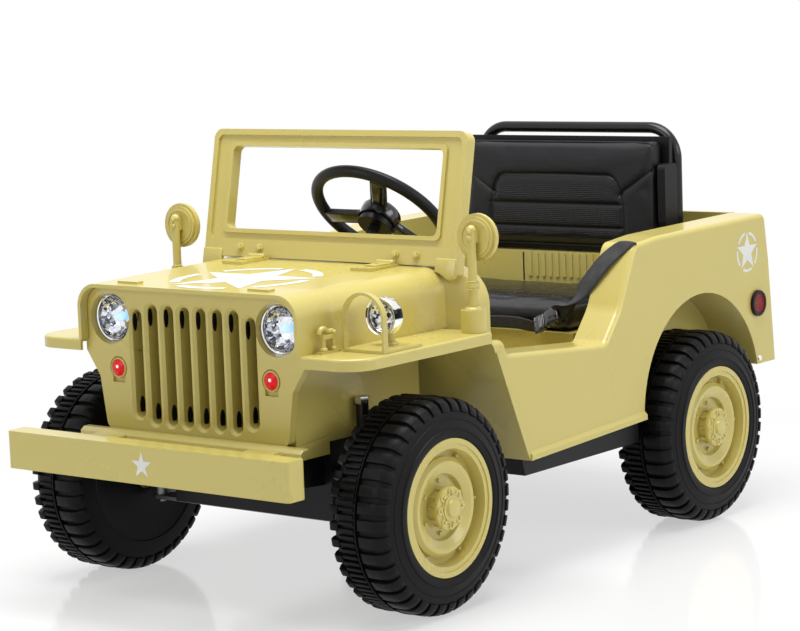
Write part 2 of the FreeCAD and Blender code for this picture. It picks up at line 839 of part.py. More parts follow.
def make_rim():
    """A left wheel about its own axle, with its stepped lip, deep well, raised ring, hub and cap."""
    body = inner_body("rim")
    ring_outer = "(rim_radius - rim_flange - well_width)"
    ring_inner = "(hub_radius + hub_room)"
    ring_width = "(%s - %s)" % (ring_outer, ring_inner)
    revolve(body, "XY", "0", [
        ("spindle_radius + running_gap", "tyre_inner_y + tyre_web + seat_gap"),
        ("rim_radius", "tyre_inner_y + tyre_web + seat_gap"),
        ("rim_radius", "hub_face_y"),
        ("rim_radius - rim_flange / 2", "hub_face_y"),
        ("rim_radius - rim_flange / 2", "hub_face_y - rim_inset"),
        ("rim_radius - rim_flange", "hub_face_y - rim_inset"),
        ("rim_radius - rim_flange - rim_inset", "dish_y"),
        (ring_outer, "dish_y"),
        (ring_outer, "ring_y - ring_edge"),
        ("%s - %s / 4" % (ring_outer, ring_width), "ring_y"),
        ("%s - %s / 2" % (ring_outer, ring_width), "ring_y"),
        (ring_inner, "ring_y - ring_edge"),
        ("%s - rim_inset" % ring_inner, "dish_y"),
        ("hub_radius - hub_waist", "dish_y"),
        ("hub_radius - hub_waist", "hub_face_y - hub_plate"),
        ("hub_radius", "hub_face_y - hub_plate"),
        ("hub_radius", "hub_face_y"),
        ("cap_radius + cap_step", "hub_face_y"),
        ("cap_radius + cap_step", "(hub_face_y + cap_y) / 2"),
        ("cap_radius", "(hub_face_y + cap_y) / 2"),
        ("cap_radius - cap_rise / 2", "cap_y"),
        ("0", "cap_y"),
        ("0", "spindle_end_y + running_gap"),
        ("spindle_radius + running_gap", "spindle_end_y + running_gap")])
    return body


def make_wheels():
    for kind, source in (("tyre", make_tyre()), ("rim", make_rim())):
        mirror = doc.addObject("Part::Mirroring", kind + "_mirrored")
        mirror.Source = source
        mirror.Normal = Vector(0, 1, 0)
        for end in ("front", "rear"):
            for name, side in SIDES:
                item = together("%s_%s_%s" % (kind, end, name), [source if side > 0 else mirror])
                place(item, end + "_axle_x", "0", "wheel_radius")


# Steering

def make_steering():
    for name, side in SIDES:
        body = new_body("knuckle_" + name)
        low_y, high_y = mirrored(side, "kingpin_y", "spindle_end_y")
        pad(body, "XY", "knuckle_low_z", "knuckle_high_z",
            circle_loop("front_axle_x", "%d * kingpin_y" % side, "knuckle_radius"))
        pad(body, "XZ", low_y, high_y, circle_loop("front_axle_x", "wheel_radius", "spindle_radius"))
        arm_y = "%d * kingpin_y" % side
        pad(body, "XY", "knuckle_low_z", "knuckle_low_z + arm_thickness",
            box_loop("front_axle_x - steering_arm - arm_width / 2", "%s - arm_width / 2" % arm_y, "front_axle_x",
                     "%s + arm_width / 2" % arm_y, "arm_width / 2 - ear_flat"))
        pad(body, "XY", "knuckle_low_z - tie_pin_length", "knuckle_low_z",
            circle_loop("front_axle_x - steering_arm", arm_y, "tie_pin_radius"))
        pocket(body, "XY", "knuckle_low_z", "knuckle_high_z",
               circle_loop("front_axle_x", "%d * kingpin_y" % side, "kingpin_radius + pin_gap"))
    rod = new_body("tie_rod")
    pad(rod, "XZ", "-kingpin_y", "kingpin_y",
        circle_loop("front_axle_x - steering_arm", "knuckle_low_z - tie_rod_drop", "tie_rod_radius"))
    eyes = [circle_loop("front_axle_x - steering_arm", "%d * kingpin_y" % side, "arm_width / 2")
            for name, side in SIDES]
    pins = [circle_loop("front_axle_x - steering_arm", "%d * kingpin_y" % side, "tie_pin_radius + pin_gap")
            for name, side in SIDES]
    pad(rod, "XY", "knuckle_low_z - tie_eye_height", "knuckle_low_z - seat_gap", *eyes)
    pocket(rod, "XY", "knuckle_low_z - 2 * tie_eye_height", "knuckle_low_z", *pins)


def make_steering_wheel():
    """The rim, hub and spokes are drawn flat about +Z and then tilted, the column running down -Z."""
    tilt = Rotation(Vector(0, 1, 0), -value("90 - column_angle"))
    rim = doc.addObject("Part::Torus", "steering_ring")
    rim.setExpression("Radius1", bound("steering_radius"))
    rim.setExpression("Radius2", bound("steering_tube"))
    hub = cylinder("steering_hub", "steering_hub_radius", "steering_hub_height", "0", "0",
                   "steering_hub_rise - steering_hub_height")
    column = cylinder("steering_column", "column_radius", "column_length", "0", "0", "-column_length")
    spokes = []
    for angle in SPOKE_ANGLES:
        spoke = block("steering_spoke", "steering_radius", "spoke_width", "spoke_thickness", "0", "0", "0")
        turn = Rotation(Vector(0, 0, 1), angle)
        start = turn.multVec(Vector(0, -value("spoke_width") / 2, -value("spoke_thickness")))
        spoke.setExpression("Placement.Base.x", None)
        spoke.setExpression("Placement.Base.y", None)
        spoke.setExpression("Placement.Base.z", None)
        spoke.Placement = FreeCAD.Placement(start, turn)
        spokes.append(spoke)
    item = fuse("steering_wheel", [rim, hub, column] + spokes)
    place(item, "steering_x", "0", "steering_z", tilt)
    tube = cylinder("sleeve_tube", "sleeve_radius", "sleeve_length", "0", "0", "-column_length")
    bore = cylinder("sleeve_bore", "column_radius + running_gap", "sleeve_length", "0", "0", "-column_length")
    sleeve = doc.addObject("Part::Cut", "column_sleeve")
    sleeve.Base = tube
    sleeve.Tool = bore
    only("column_sleeve", sleeve)
    place(sleeve, "steering_x", "0", "steering_z", tilt)


# Body

def floor_z(x):
    """The height of a piece that stands on the sloping floor at one place along the car."""
    fall = "(side_rear_z - side_front_z) / (side_front_x - panel - side_rear_x)"
    return "side_front_z + panel + seat_gap + (side_front_x - panel - (%s)) * %s" % (x, fall)


def make_body_sides():
    for name, side in SIDES:
        body = new_body("body_side_" + name)
        low, high = mirrored(side, "side_inner_y", "side_outer_y")
        pad(body, "XZ", low, high, [
            ("cowl_front_x", "cowl_side_z"),
            ("sill_front_x", "cowl_side_z", "side_corner"),
            ("sill_front_x - side_corner / 2", "sill_front_z", "side_corner"),
            ("sill_rear_x", "sill_rear_z", "side_corner"),
            ("pillar_low_x", "pillar_low_z", "pillar_foot_corner"),
            ("pillar_high_x", "pillar_high_z", "pillar_corner"),
            ("rail_front_x", "rail_front_z"),
            ("rail_rear_x", "rail_rear_z", "side_corner"),
            ("tail_bend_x", "tail_bend_z"),
            ("tail_x", "tail_bottom_z"),
            ("arch_x - arch_radius + arch_toe", "tail_bottom_z"),
            ("side_rear_x", "side_rear_z"),
            ("side_front_x", "side_front_z")])
        outer = value("side_outer_y") * side
        lowest = value("sill_rear_z") - value("side_corner") * 2
        round_edges(body, "side_round", lambda edge: lies_at(edge, "y", outer) and middle_of(edge).z > lowest)
        low, high = mirrored(side, "side_outer_y", "side_outer_y + lip_proud")
        pad(body, "XZ", low, high, [
            ("side_rear_x", "side_rear_z"),
            ("side_front_x", "side_front_z"),
            ("side_front_x - lip_proud / 2", "side_front_z + lip_height"),
            ("side_rear_x", "side_rear_z + lip_height")])
        lip = value("side_outer_y + lip_proud") * side
        middle = value("(side_rear_z + side_front_z + lip_height) / 2")
        slope_edges(body, "lip_proud - seat_gap", lambda edge: lies_at(edge, "y", lip) and middle_of(edge).z > middle
                    and edge.BoundBox.XLength > value("lip_height") * 2)
        low, high = mirrored(side, "side_outer_y - panel", "side_outer_y + strip_proud")
        strip_top_z = "(cowl_side_z - 2 * side_round)"
        strip_top_x = "(cowl_front_x - 2 * side_round * (cowl_front_x - side_front_x) / (cowl_side_z - side_front_z))"
        pad(body, "XZ", low, high, [
            ("side_front_x", "side_front_z"),
            (strip_top_x, strip_top_z),
            (strip_top_x + " - strip_width", strip_top_z),
            ("side_front_x - strip_width", "side_front_z")])
        low, high = mirrored(side, "well_inner_y", "side_inner_y")
        pad(body, "XZ", low, high,
            box_loop("arch_x - arch_radius - panel", "tail_bottom_z", "side_rear_x + well_toe", "well_top_z"))
        low, high = mirrored(side, "well_inner_y + well_panel", "side_outer_y + lip_proud")
        pocket(body, "XZ", low, high, circle_loop("arch_x", "arch_z", "arch_radius"))


def make_tailgate():
    body = new_body("tailgate")
    pad(body, "XZ", "seat_gap - side_inner_y", "side_inner_y - seat_gap", [
        ("rail_rear_x", "rail_rear_z"),
        ("tail_bend_x", "tail_bend_z"),
        ("tail_x", "tail_bottom_z"),
        ("tail_x", "tail_bottom_z - tail_skirt"),
        ("tail_x + 2 * tail_panel", "tail_bottom_z - tail_skirt"),
        ("tail_x + 2 * tail_panel", "tail_bottom_z"),
        ("tail_x + tail_panel", "tail_bottom_z"),
        ("tail_bend_x + tail_panel", "tail_bend_z"),
        ("rail_rear_x + tail_panel", "rail_rear_z")])


def make_floor():
    body = new_body("floor_pan")
    pad(body, "XZ", "seat_gap - side_inner_y", "side_inner_y - seat_gap", [
        ("seat_rear_x", "side_rear_z"),
        ("side_rear_x", "side_rear_z"),
        ("side_front_x", "side_front_z"),
        ("cowl_front_x", "cowl_side_z"),
        ("cowl_front_x - panel", "cowl_side_z"),
        ("side_front_x - panel", "side_front_z + panel"),
        ("side_rear_x", "side_rear_z + panel"),
        ("seat_rear_x", "side_rear_z + panel")])
    corners = []
    for name, side in SIDES:
        low, high = mirrored(side, "well_inner_y - seat_gap", "side_inner_y")
        corners.append(box_loop("seat_rear_x - seat_gap", low, "side_rear_x + well_toe + seat_gap", high))
    pocket(body, "XY", "side_rear_z - panel", "side_rear_z + 2 * panel", *corners)
    bed = new_body("bed_floor")
    pad(bed, "XZ", "seat_gap - well_inner_y", "well_inner_y - seat_gap",
        box_loop("tail_bend_x + seat_gap", "bed_bottom_z", "seat_rear_x - bulkhead_panel - seat_gap",
                 "bed_bottom_z + panel"))


def make_seat():
    base = new_body("seat_box")
    pad(base, "XY", "side_rear_z + panel + seat_gap", "seat_base_z",
        box_loop("seat_rear_x + seat_gap", "-seat_half_width", "seat_front_x - seat_box_inset", "seat_half_width"))
    pocket(base, "XY", "side_rear_z + panel", "seat_base_z - panel",
           box_loop("seat_rear_x + panel", "panel - seat_half_width", "seat_front_x - seat_box_inset - panel",
                    "seat_half_width - panel"))
    battery = block("battery_block", "battery_length", "battery_width", "battery_height",
                    "(seat_rear_x + seat_front_x - battery_length) / 2", "-battery_width / 2",
                    "side_rear_z + panel + seat_gap")
    only("battery", battery)
    cushion = new_body("seat_cushion")
    pad(cushion, "XZ", "-seat_half_width", "seat_half_width", [
        ("seat_rear_x + seat_gap", "seat_base_z + seat_gap"),
        ("seat_front_x", "seat_base_z + seat_gap", "cushion_corner / 2"),
        ("seat_front_x", "seat_top_z", "cushion_corner"),
        ("seat_rear_x + seat_gap", "seat_top_z", "cushion_corner / 2")])
    bulkhead = new_body("bulkhead")
    pad(bulkhead, "YZ", "seat_rear_x - bulkhead_panel", "seat_rear_x", [
        ("seat_gap - well_inner_y", "side_rear_z + seat_gap"),
        ("well_inner_y - seat_gap", "side_rear_z + seat_gap"),
        ("well_inner_y - seat_gap", "well_top_z + seat_gap"),
        ("side_inner_y - seat_gap", "well_top_z + seat_gap"),
        ("side_inner_y - seat_gap", "shelf_z"),
        ("seat_gap - side_inner_y", "shelf_z"),
        ("seat_gap - side_inner_y", "well_top_z + seat_gap"),
        ("seat_gap - well_inner_y", "well_top_z + seat_gap")])
    pad(bulkhead, "XZ", "seat_gap - side_inner_y", "side_inner_y - seat_gap",
        box_loop("shelf_rear_x", "shelf_z - panel", "seat_rear_x - bulkhead_panel", "shelf_z"))
    ribs = []
    for number in range(int(value("bulkhead_ribs"))):
        low = "(bulkhead_rib_start + bulkhead_rib_pitch * %d)" % number
        ribs.append(box_loop(low, "seat_top_z + panel", "%s + bulkhead_rib_width" % low, "shelf_z"))
    pad(bulkhead, "YZ", "seat_rear_x", "seat_rear_x + bulkhead_rib_depth", *ribs)
    lean = "(back_front_low_x - back_front_high_x) / back_height"
    low_z = "shelf_z + seat_gap"
    high_z = "back_top_z + shell_rim"
    low_x = "back_front_low_x - back_thickness - seat_gap + (back_bottom_z - %s) * %s" % (low_z, lean)
    high_x = "back_front_high_x - back_thickness - seat_gap - shell_rim * %s" % lean
    shell = new_body("backrest_shell")
    pad(shell, "XZ", "-back_half_width - shell_rim", "back_half_width + shell_rim", [
        ("%s - shell_panel" % low_x, low_z),
        (low_x, low_z),
        (high_x, high_z),
        ("%s - shell_panel" % high_x, high_z, "shell_panel / 2")])
    for name, side in SIDES:
        low, high = mirrored(side, "back_half_width + seat_gap", "back_half_width + shell_side")
        pad(shell, "XZ", low, high,
            box_loop("back_front_high_x - back_thickness - shell_panel / 2", "back_bottom_z + shell_side_inset",
                     "back_front_low_x - back_inset", "back_top_z - shell_side_inset", "shell_panel"))
    back = new_body("seat_backrest")
    pad(back, "XZ", "-back_half_width", "back_half_width", [
        ("back_front_low_x - back_thickness", "back_bottom_z"),
        ("back_front_low_x", "back_bottom_z", "back_corner"),
        ("back_front_high_x", "back_top_z", "back_corner"),
        ("back_front_high_x - back_thickness", "back_top_z", "back_corner / 4")])


def make_roll_bar():
    body = new_body("roll_bar")
    path = sketch_on(body, "YZ", "bar_x", [])
    low = "bed_bottom_z + panel + seat_gap"
    bend = value("bar_bend")
    half = value("bar_half_width")
    top = value("bar_top_z")
    corners = [Vector(-half, value(low), 0), Vector(-half, top - bend, 0), Vector(-half + bend, top, 0),
               Vector(half - bend, top, 0), Vector(half, top - bend, 0), Vector(half, value(low), 0)]
    left = path.addGeometry(Part.LineSegment(corners[0], corners[1]), False)
    shape, first_ends = corner_arc(Vector(-half + bend, top - bend, 0), bend, corners[1], corners[2])
    first = path.addGeometry(shape, False)
    across = path.addGeometry(Part.LineSegment(corners[2], corners[3]), False)
    shape, second_ends = corner_arc(Vector(half - bend, top - bend, 0), bend, corners[3], corners[4])
    second = path.addGeometry(shape, False)
    right = path.addGeometry(Part.LineSegment(corners[4], corners[5]), False)
    path.addConstraint(Sketcher.Constraint("Tangent", left, 2, first, first_ends[0]))
    path.addConstraint(Sketcher.Constraint("Tangent", across, 1, first, first_ends[1]))
    path.addConstraint(Sketcher.Constraint("Tangent", across, 2, second, second_ends[0]))
    path.addConstraint(Sketcher.Constraint("Tangent", right, 1, second, second_ends[1]))
    path.addConstraint(Sketcher.Constraint("Vertical", left))
    path.addConstraint(Sketcher.Constraint("Vertical", right))
    path.addConstraint(Sketcher.Constraint("Horizontal", across))
    for kind, geometry, point, size in (("DistanceX", left, 1, "-bar_half_width"), ("DistanceY", left, 1, low),
                                        ("DistanceX", right, 2, "bar_half_width"), ("DistanceY", right, 2, low),
                                        ("DistanceY", across, 1, "bar_top_z")):
        number = path.addConstraint(Sketcher.Constraint(kind, -1, 1, geometry, point, value(size)))
        path.setExpression("Constraints[%d]" % number, bound(size))
    for arc in (first, second):
        number = path.addConstraint(Sketcher.Constraint("Radius", arc, bend))
        path.setExpression("Constraints[%d]" % number, bound("bar_bend"))
    section = sketch_on(body, "XY", low, [circle_loop("bar_x", "-bar_half_width", "bar_radius")])
    doc.recompute()
    pipe = body.newObject("PartDesign::AdditivePipe", "roll_bar_pipe")
    pipe.Profile = section
    pipe.Spine = (path, ["Edge%d" % number for number in range(1, 6)])


def fender_outline(side, inset):
    """A fender seen from above, its front notched round the grille, drawn in by the inset at its free edges."""
    step_x = "grille_rear_x - bowl_depth"
    front = "fender_front_x - (%s)" % inset
    rear = "cowl_front_x + seat_gap"
    inner = "bay_half_width - bay_panel"
    notch = "hood_front_half_width + seat_gap" + ("" if inset == "0" else " - seat_gap")
    outer = "side_outer_y - (%s)" % inset
    corner = "fender_corner - (%s)" % inset
    points = [(rear, inner), (step_x, inner), (step_x, notch), (front, notch), (front, outer, corner), (rear, outer)]
    return [(point[0], "%d * (%s)" % (side, point[1])) + tuple(point[2:]) for point in points]


def make_fenders():
    for name, side in SIDES:
        body = new_body("fender_" + name)
        pad(body, "XY", "fender_top_z - fender_lip", "fender_top_z", fender_outline(side, "0"))
        front = value("fender_front_x")
        outer = value("side_outer_y") * side
        top = value("fender_top_z")
        round_edges(body, "fender_round", lambda edge: lies_at(edge, "z", top) and (
            lies_at(edge, "x", front) or lies_at(edge, "y", outer) or middle_of(edge).x > front - value("fender_corner")
            and abs(middle_of(edge).y) > abs(outer) - value("fender_corner")))
        pocket(body, "XY", "fender_top_z - fender_lip", "fender_top_z - fender_panel",
               fender_outline(side, "fender_panel"))
        low, high = mirrored(side, "hood_front_half_width + latch_offset",
                             "hood_front_half_width + latch_offset + latch_width")
        pad(body, "XY", "fender_top_z", "fender_top_z + latch_plate",
            box_loop("latch_x - latch_length / 2", low, "latch_x + latch_length / 2", high))
        middle = "%d * (hood_front_half_width + latch_offset + latch_width / 2)" % side
        posts = [circle_loop("latch_x + %d * latch_length / 4" % step, middle, "latch_radius") for step in (-1, 1)]
        pad(body, "XY", "fender_top_z", "fender_top_z + latch_height", *posts)
        pad(body, "XZ", "%s - latch_radius" % middle, "%s + latch_radius" % middle,
            box_loop("latch_x - latch_length / 4 - latch_radius", "fender_top_z + latch_height - 2 * latch_radius",
                     "latch_x + latch_length / 4 + latch_radius", "fender_top_z + latch_height"))


def make_engine_bay():
    body = new_body("engine_bay")
    top = "fender_top_z - fender_panel - seat_gap"
    pad(body, "YZ", "cowl_front_x + seat_gap", "grille_rear_x - seat_gap", [
        ("-bay_half_width", "spine_top_z"),
        ("bay_half_width", "spine_top_z"),
        ("bay_half_width", top),
        ("bay_half_width - bay_panel", top),
        ("bay_half_width - bay_panel", "spine_top_z + bay_panel"),
        ("bay_panel - bay_half_width", "spine_top_z + bay_panel"),
        ("bay_panel - bay_half_width", top),
        ("-bay_half_width", top)])
    pocket(body, "XZ", "-bay_half_width", "bay_half_width",
           box_loop("grille_rear_x - bowl_depth - seat_gap", "headlamp_z - headlamp_recess - 2 * headlamp_rim",
                    "grille_rear_x", "fender_top_z"))


def hood_section(half_width, top, inset, corner="hood_corner"):
    """One arched cross-section of the hood, drawn in from its outer face by the inset."""
    half = "%s - %s" % (half_width, inset)
    bottom = "fender_top_z + seat_gap" if inset == "0" else "fender_top_z + seat_gap - hood_panel"
    return [
        ("-(%s)" % half, bottom),
        (half, bottom),
        (half, "%s - %s" % (top, inset), "%s - %s" % (corner, inset)),
        ("-(%s)" % half, "%s - %s" % (top, inset), "%s - %s" % (corner, inset))]


def make_hood():
    body = new_body("hood")
    loft(body, "YZ", [("seam_x + seat_gap", hood_section("hood_rear_half_width", "hood_rear_z", "0")),
                      ("hood_front_x", hood_section("hood_front_half_width", "hood_front_z", "0"))])
    hollow_loft(body, "YZ", [("seam_x + seat_gap", hood_section("hood_rear_half_width", "hood_rear_z", "hood_panel")),
                             ("hood_front_x", hood_section("hood_front_half_width", "hood_front_z", "hood_panel"))])
    for place_x, length, level in (("cowl_front_x + pad_length / 2", "pad_length", "hood_rear_z"),
                                   ("hood_front_x - 2 * buffer_length", "buffer_length", "hood_front_z")):
        blocks = []
        for name, side in SIDES:
            middle = "%d * buffer_y" % side
            blocks.append(box_loop("%s - %s / 2" % (place_x, length), "%s - buffer_width / 2" % middle,
                                   "%s + %s / 2" % (place_x, length), "%s + buffer_width / 2" % middle))
        pad(body, "XY", "%s - hood_panel / 2" % level, "%s + buffer_rise" % level, *blocks)


def make_grille():
    body = new_body("grille")
    inner_half = "hood_front_half_width - hood_panel - seat_gap"
    pad(body, "YZ", "grille_rear_x", "grille_front_x", [
        ("-grille_bottom_half_width", "grille_bottom_z", "grille_corner"),
        ("grille_bottom_half_width", "grille_bottom_z", "grille_corner"),
        ("grille_waist_half_width", "grille_waist_z"),
        ("hood_front_half_width", "grille_step_z"),
        ("hood_front_half_width", "fender_top_z"),
        (inner_half, "fender_top_z"),
        (inner_half, "hood_front_z - hood_panel - seat_gap", "hood_corner - hood_panel"),
        ("-(%s)" % inner_half, "hood_front_z - hood_panel - seat_gap", "hood_corner - hood_panel"),
        ("-(%s)" % inner_half, "fender_top_z"),
        ("-hood_front_half_width", "fender_top_z"),
        ("-hood_front_half_width", "grille_step_z"),
        ("-grille_waist_half_width", "grille_waist_z")])
    low_half = "(slot_pitch * (slot_count - 1) / 2 + slot_width / 2 + panel)"
    high_half = "(headlamp_y - headlamp_recess - 2 * headlamp_rim)"
    step_z = "headlamp_z - headlamp_recess - 2 * headlamp_rim"
    pad(body, "YZ", "grille_front_x - slot_depth", "grille_rear_x", [
        ("-" + low_half, "slot_bottom_z - slot_bevel"),
        (low_half, "slot_bottom_z - slot_bevel"),
        (low_half, step_z),
        (high_half, step_z),
        (high_half, "slot_top_z + panel"),
        ("-" + high_half, "slot_top_z + panel"),
        ("-" + high_half, step_z),
        ("-" + low_half, step_z)])
    for growth, depth, taper in (("0", "slot_depth", 0), ("slot_bevel", "slot_bevel", SLOT_TAPER)):
        slots = []
        for number in range(int(value("slot_count"))):
            middle = "slot_pitch * (%d - (slot_count - 1) / 2)" % number
            inset = "outer_slot_inset" if number in (0, int(value("slot_count")) - 1) else "0"
            half = "(slot_width / 2 + %s)" % growth
            slots.append(box_loop("%s - %s" % (middle, half), "slot_bottom_z + %s - %s" % (inset, growth),
                                  "%s + %s" % (middle, half), "slot_top_z - %s + %s" % (inset, growth),
                                  "%s - seat_gap" % half))
        cut = pocket(body, "YZ", "grille_front_x - " + depth, "grille_front_x", *slots)
        cut.TaperAngle = taper
    for radius, y, z, depth in (("headlamp_recess", "headlamp_y", "headlamp_z", "grille_panel"),
                                ("marker_recess_radius", "marker_y", "marker_z", "marker_recess")):
        rounds = [circle_loop("%d * %s" % (side, y), z, radius) for name, side in SIDES]
        pocket(body, "YZ", "grille_front_x - " + depth, "grille_front_x", *rounds)
    notches = []
    for name, side in SIDES:
        notches.append(box_loop("%d * marker_y - marker_radius" % side, "marker_z - marker_recess_radius - marker_rim",
                                "%d * marker_y + marker_radius" % side, "marker_z"))
    pocket(body, "YZ", "grille_front_x - marker_recess", "grille_front_x", *notches)


def turned_about_x(name, x, y, z, outline):
    """A solid of revolution whose axis runs forward through a place. X of the outline runs along the axis."""
    body = inner_body(name)
    revolve(body, "XY", "0", outline, "H_Axis")
    return place(body, x, y, z)


def make_lamps():
    bowls = []
    lenses = []
    markers = []
    for name, side in SIDES:
        y = "%d * headlamp_y" % side
        bowls.append(turned_about_x("bowl_" + name, "grille_rear_x - seat_gap", y, "headlamp_z", [
            ("0", "headlamp_recess + headlamp_rim"),
            ("0", "headlamp_radius - headlamp_rim / 2"),
            ("-bowl_depth / 2", "headlamp_radius * 2 / 3"),
            ("panel - bowl_depth", "bulb_radius"),
            ("panel - bowl_depth", "0"),
            ("-bowl_depth", "0"),
            ("-bowl_depth", "bulb_radius + panel / 2"),
            ("-bowl_depth / 2", "headlamp_radius * 2 / 3 + panel / 2"),
            ("-panel / 2", "headlamp_recess"),
            ("-panel / 2", "headlamp_recess + headlamp_rim")]))
        lenses.append(turned_about_x("lens_" + name, "grille_rear_x + seat_gap", y, "headlamp_z", [
            ("0", "0"),
            ("0", "headlamp_radius"),
            ("lens_bulge / 4", "headlamp_radius"),
            ("lens_bulge", "headlamp_radius / 2", "headlamp_radius / 3"),
            ("lens_bulge", "0")]))
        markers.append(turned_about_x("marker_" + name, "grille_front_x - marker_recess + seat_gap",
                                      "%d * marker_y" % side, "marker_z", [
            ("0", "0"),
            ("0", "marker_radius"),
            ("marker_recess", "marker_radius"),
            ("marker_recess + marker_bulge", "marker_radius / 2", "marker_radius / 3"),
            ("marker_recess + marker_bulge", "0")]))
    together("headlamps", bowls)
    together("headlamp_lenses", lenses)
    together("marker_lamps", markers)


def cowl_section(half_width, top, corner):
    bottom = "cowl_side_z + seat_gap"
    return [
        ("-(%s)" % half_width, bottom),
        (half_width, bottom),
        (half_width, top, corner),
        ("-(%s)" % half_width, top, corner)]


def make_cowl():
    body = new_body("cowl")
    loft(body, "YZ", [("seam_x - cowl_shoulder", cowl_section("cowl_half_width", "cowl_top_z", "cowl_corner")),
                      ("seam_x", cowl_section("hood_rear_half_width", "cowl_top_z", "hood_corner"))])
    pad(body, "YZ", "cowl_rear_x", "seam_x - cowl_shoulder",
        cowl_section("cowl_half_width", "cowl_top_z", "cowl_corner"))
    pocket(body, "YZ", "cowl_rear_x", "seam_x - cowl_shoulder", [
        ("panel - cowl_half_width", "cowl_side_z - panel"),
        ("cowl_half_width - panel", "cowl_side_z - panel"),
        ("cowl_half_width - panel", "cowl_top_z - panel", "cowl_corner - panel"),
        ("panel - cowl_half_width", "cowl_top_z - panel", "cowl_corner - panel")])
    pocket(body, "YZ", "cowl_rear_x", "seam_x",
           box_loop("-sleeve_radius - seat_gap", "cowl_side_z", "sleeve_radius + seat_gap",
                    "cowl_top_z - 2 * panel"))
    dash = new_body("dashboard")
    bore_z = "steering_z - (cowl_rear_x - steering_x) / tan(column_angle)"
    pad(dash, "YZ", "cowl_rear_x - dash_panel - seat_gap", "cowl_rear_x - seat_gap",
        box_loop("-dash_half_width", "dash_bottom_z", "dash_half_width", "cowl_top_z - cowl_drop", "dash_corner"))
    pocket(dash, "YZ", "cowl_rear_x - dash_panel - 2 * seat_gap", "cowl_rear_x",
           box_loop("-sleeve_radius - seat_gap", "%s - sleeve_slot" % bore_z, "sleeve_radius + seat_gap",
                    "%s + sleeve_slot" % bore_z, "panel"))


def make_windscreen():
    body = new_body("windscreen_frame")
    height = "(screen_height - screen_thickness * sin(screen_rake)) / cos(screen_rake)"
    head = "%s - screen_header" % height
    foot = [
        ("screen_half_width - cowl_corner / 2", "seat_gap"),
        ("screen_half_width - screen_foot * 5 / 4", "seat_gap - screen_foot / 4"),
        ("screen_half_width - screen_foot / 2", "seat_gap - screen_foot", "screen_foot / 4"),
        ("screen_half_width", "seat_gap - screen_foot", "screen_foot / 4"),
        ("screen_half_width", height, "screen_corner")]
    mirror = [("-(%s)" % point[0], point[1]) + tuple(point[2:]) for point in reversed(foot)]
    pad(body, "YZ", "-screen_thickness", "0", foot + mirror)
    pocket(body, "YZ", "-screen_thickness", "0",
           box_loop("-opening_half_width", "opening_bottom", "opening_half_width", head, "opening_corner"))
    border = "screen_half_width - screen_border"
    lip = "opening_half_width + screen_lip"
    pocket(body, "YZ", "-screen_recess", "0",
           box_loop("-(%s)" % border, "opening_bottom - screen_lip - screen_border", border,
                    "%s - screen_border" % height, "opening_corner"),
           box_loop("-(%s)" % lip, "opening_bottom - screen_lip", lip, "%s + screen_lip" % head, "opening_corner"))
    place(body, "screen_foot_x", "0", "cowl_top_z + screen_thickness * sin(screen_rake)",
          Rotation(Vector(0, 1, 0), -value("screen_rake")))


def make_bumper():
    body = new_body("bumper")
    pad(body, "XY", "bumper_bottom_z", "bumper_top_z",
        box_loop("bumper_rear_x", "-bumper_half_width", "bumper_front_x", "bumper_half_width", "bumper_corner"))
    for name, side in SIDES:
        low, high = mirrored(side, "nose_half_width + seat_gap - bracket_width", "nose_half_width + seat_gap")
        pad(body, "XZ", low, high, [
            ("nose_x + seat_gap", "spine_top_z - bracket_height"),
            ("bumper_rear_x", "spine_top_z - bracket_height"),
            ("bumper_rear_x", "spine_top_z - seat_gap"),
            ("nose_x + seat_gap", "spine_top_z + nose_lead")])
        low, high = mirrored(side, "bay_half_width + seat_gap - bracket_plate", "bay_half_width + seat_gap + bracket_plate")
        pad(body, "XZ", low, high,
            box_loop("nose_x + seat_gap", "spine_top_z - bracket_height", "bumper_rear_x", "spine_top_z - seat_gap"))
        low, high = mirrored(side, "bay_half_width + seat_gap", "bay_half_width + seat_gap + bracket_plate")
        pad(body, "XZ", low, high, [
            ("nose_x - bracket_reach", "spine_top_z - bracket_height"),
            ("nose_x + 2 * bracket_plate", "spine_top_z - bracket_height"),
            ("nose_x + 2 * bracket_plate", "spine_top_z - seat_gap"),
            ("nose_x - bracket_reach", "spine_top_z + bracket_rise")])


def make_mirrors():
    for name, side in SIDES:
        y = "%d * mirror_y" % side
        low = "fender_top_z + seat_gap"
        base = cylinder("mirror_base_" + name, "mirror_base_radius", "mirror_base_z - (%s)" % low, "mirror_base_x",
                        y, low)
        post = cylinder("mirror_post_" + name, "mirror_post_radius", "mirror_z + mirror_post_end - mirror_base_z",
                        "mirror_base_x", y, "mirror_base_z")
        collar = cylinder("mirror_collar_" + name, "mirror_post_radius + mirror_collar", "mirror_collar_height",
                          "mirror_base_x", y, "mirror_base_z + mirror_collar_rise")
        disc = cylinder("mirror_disc_" + name, "mirror_radius", "mirror_thickness - mirror_step", "mirror_x", y,
                        "mirror_z", ALONG_X)
        back = cylinder("mirror_back_" + name, "mirror_radius - mirror_rim", "mirror_thickness", "mirror_x", y,
                        "mirror_z", ALONG_X)
        arm = block("mirror_arm_" + name, "mirror_base_x - mirror_x", "2 * mirror_post_radius",
                    "3 * mirror_post_radius", "mirror_x", "%s - mirror_post_radius" % y,
                    "mirror_z - mirror_post_radius")
        fuse("mirror_" + name, [base, post, collar, disc, back, arm])


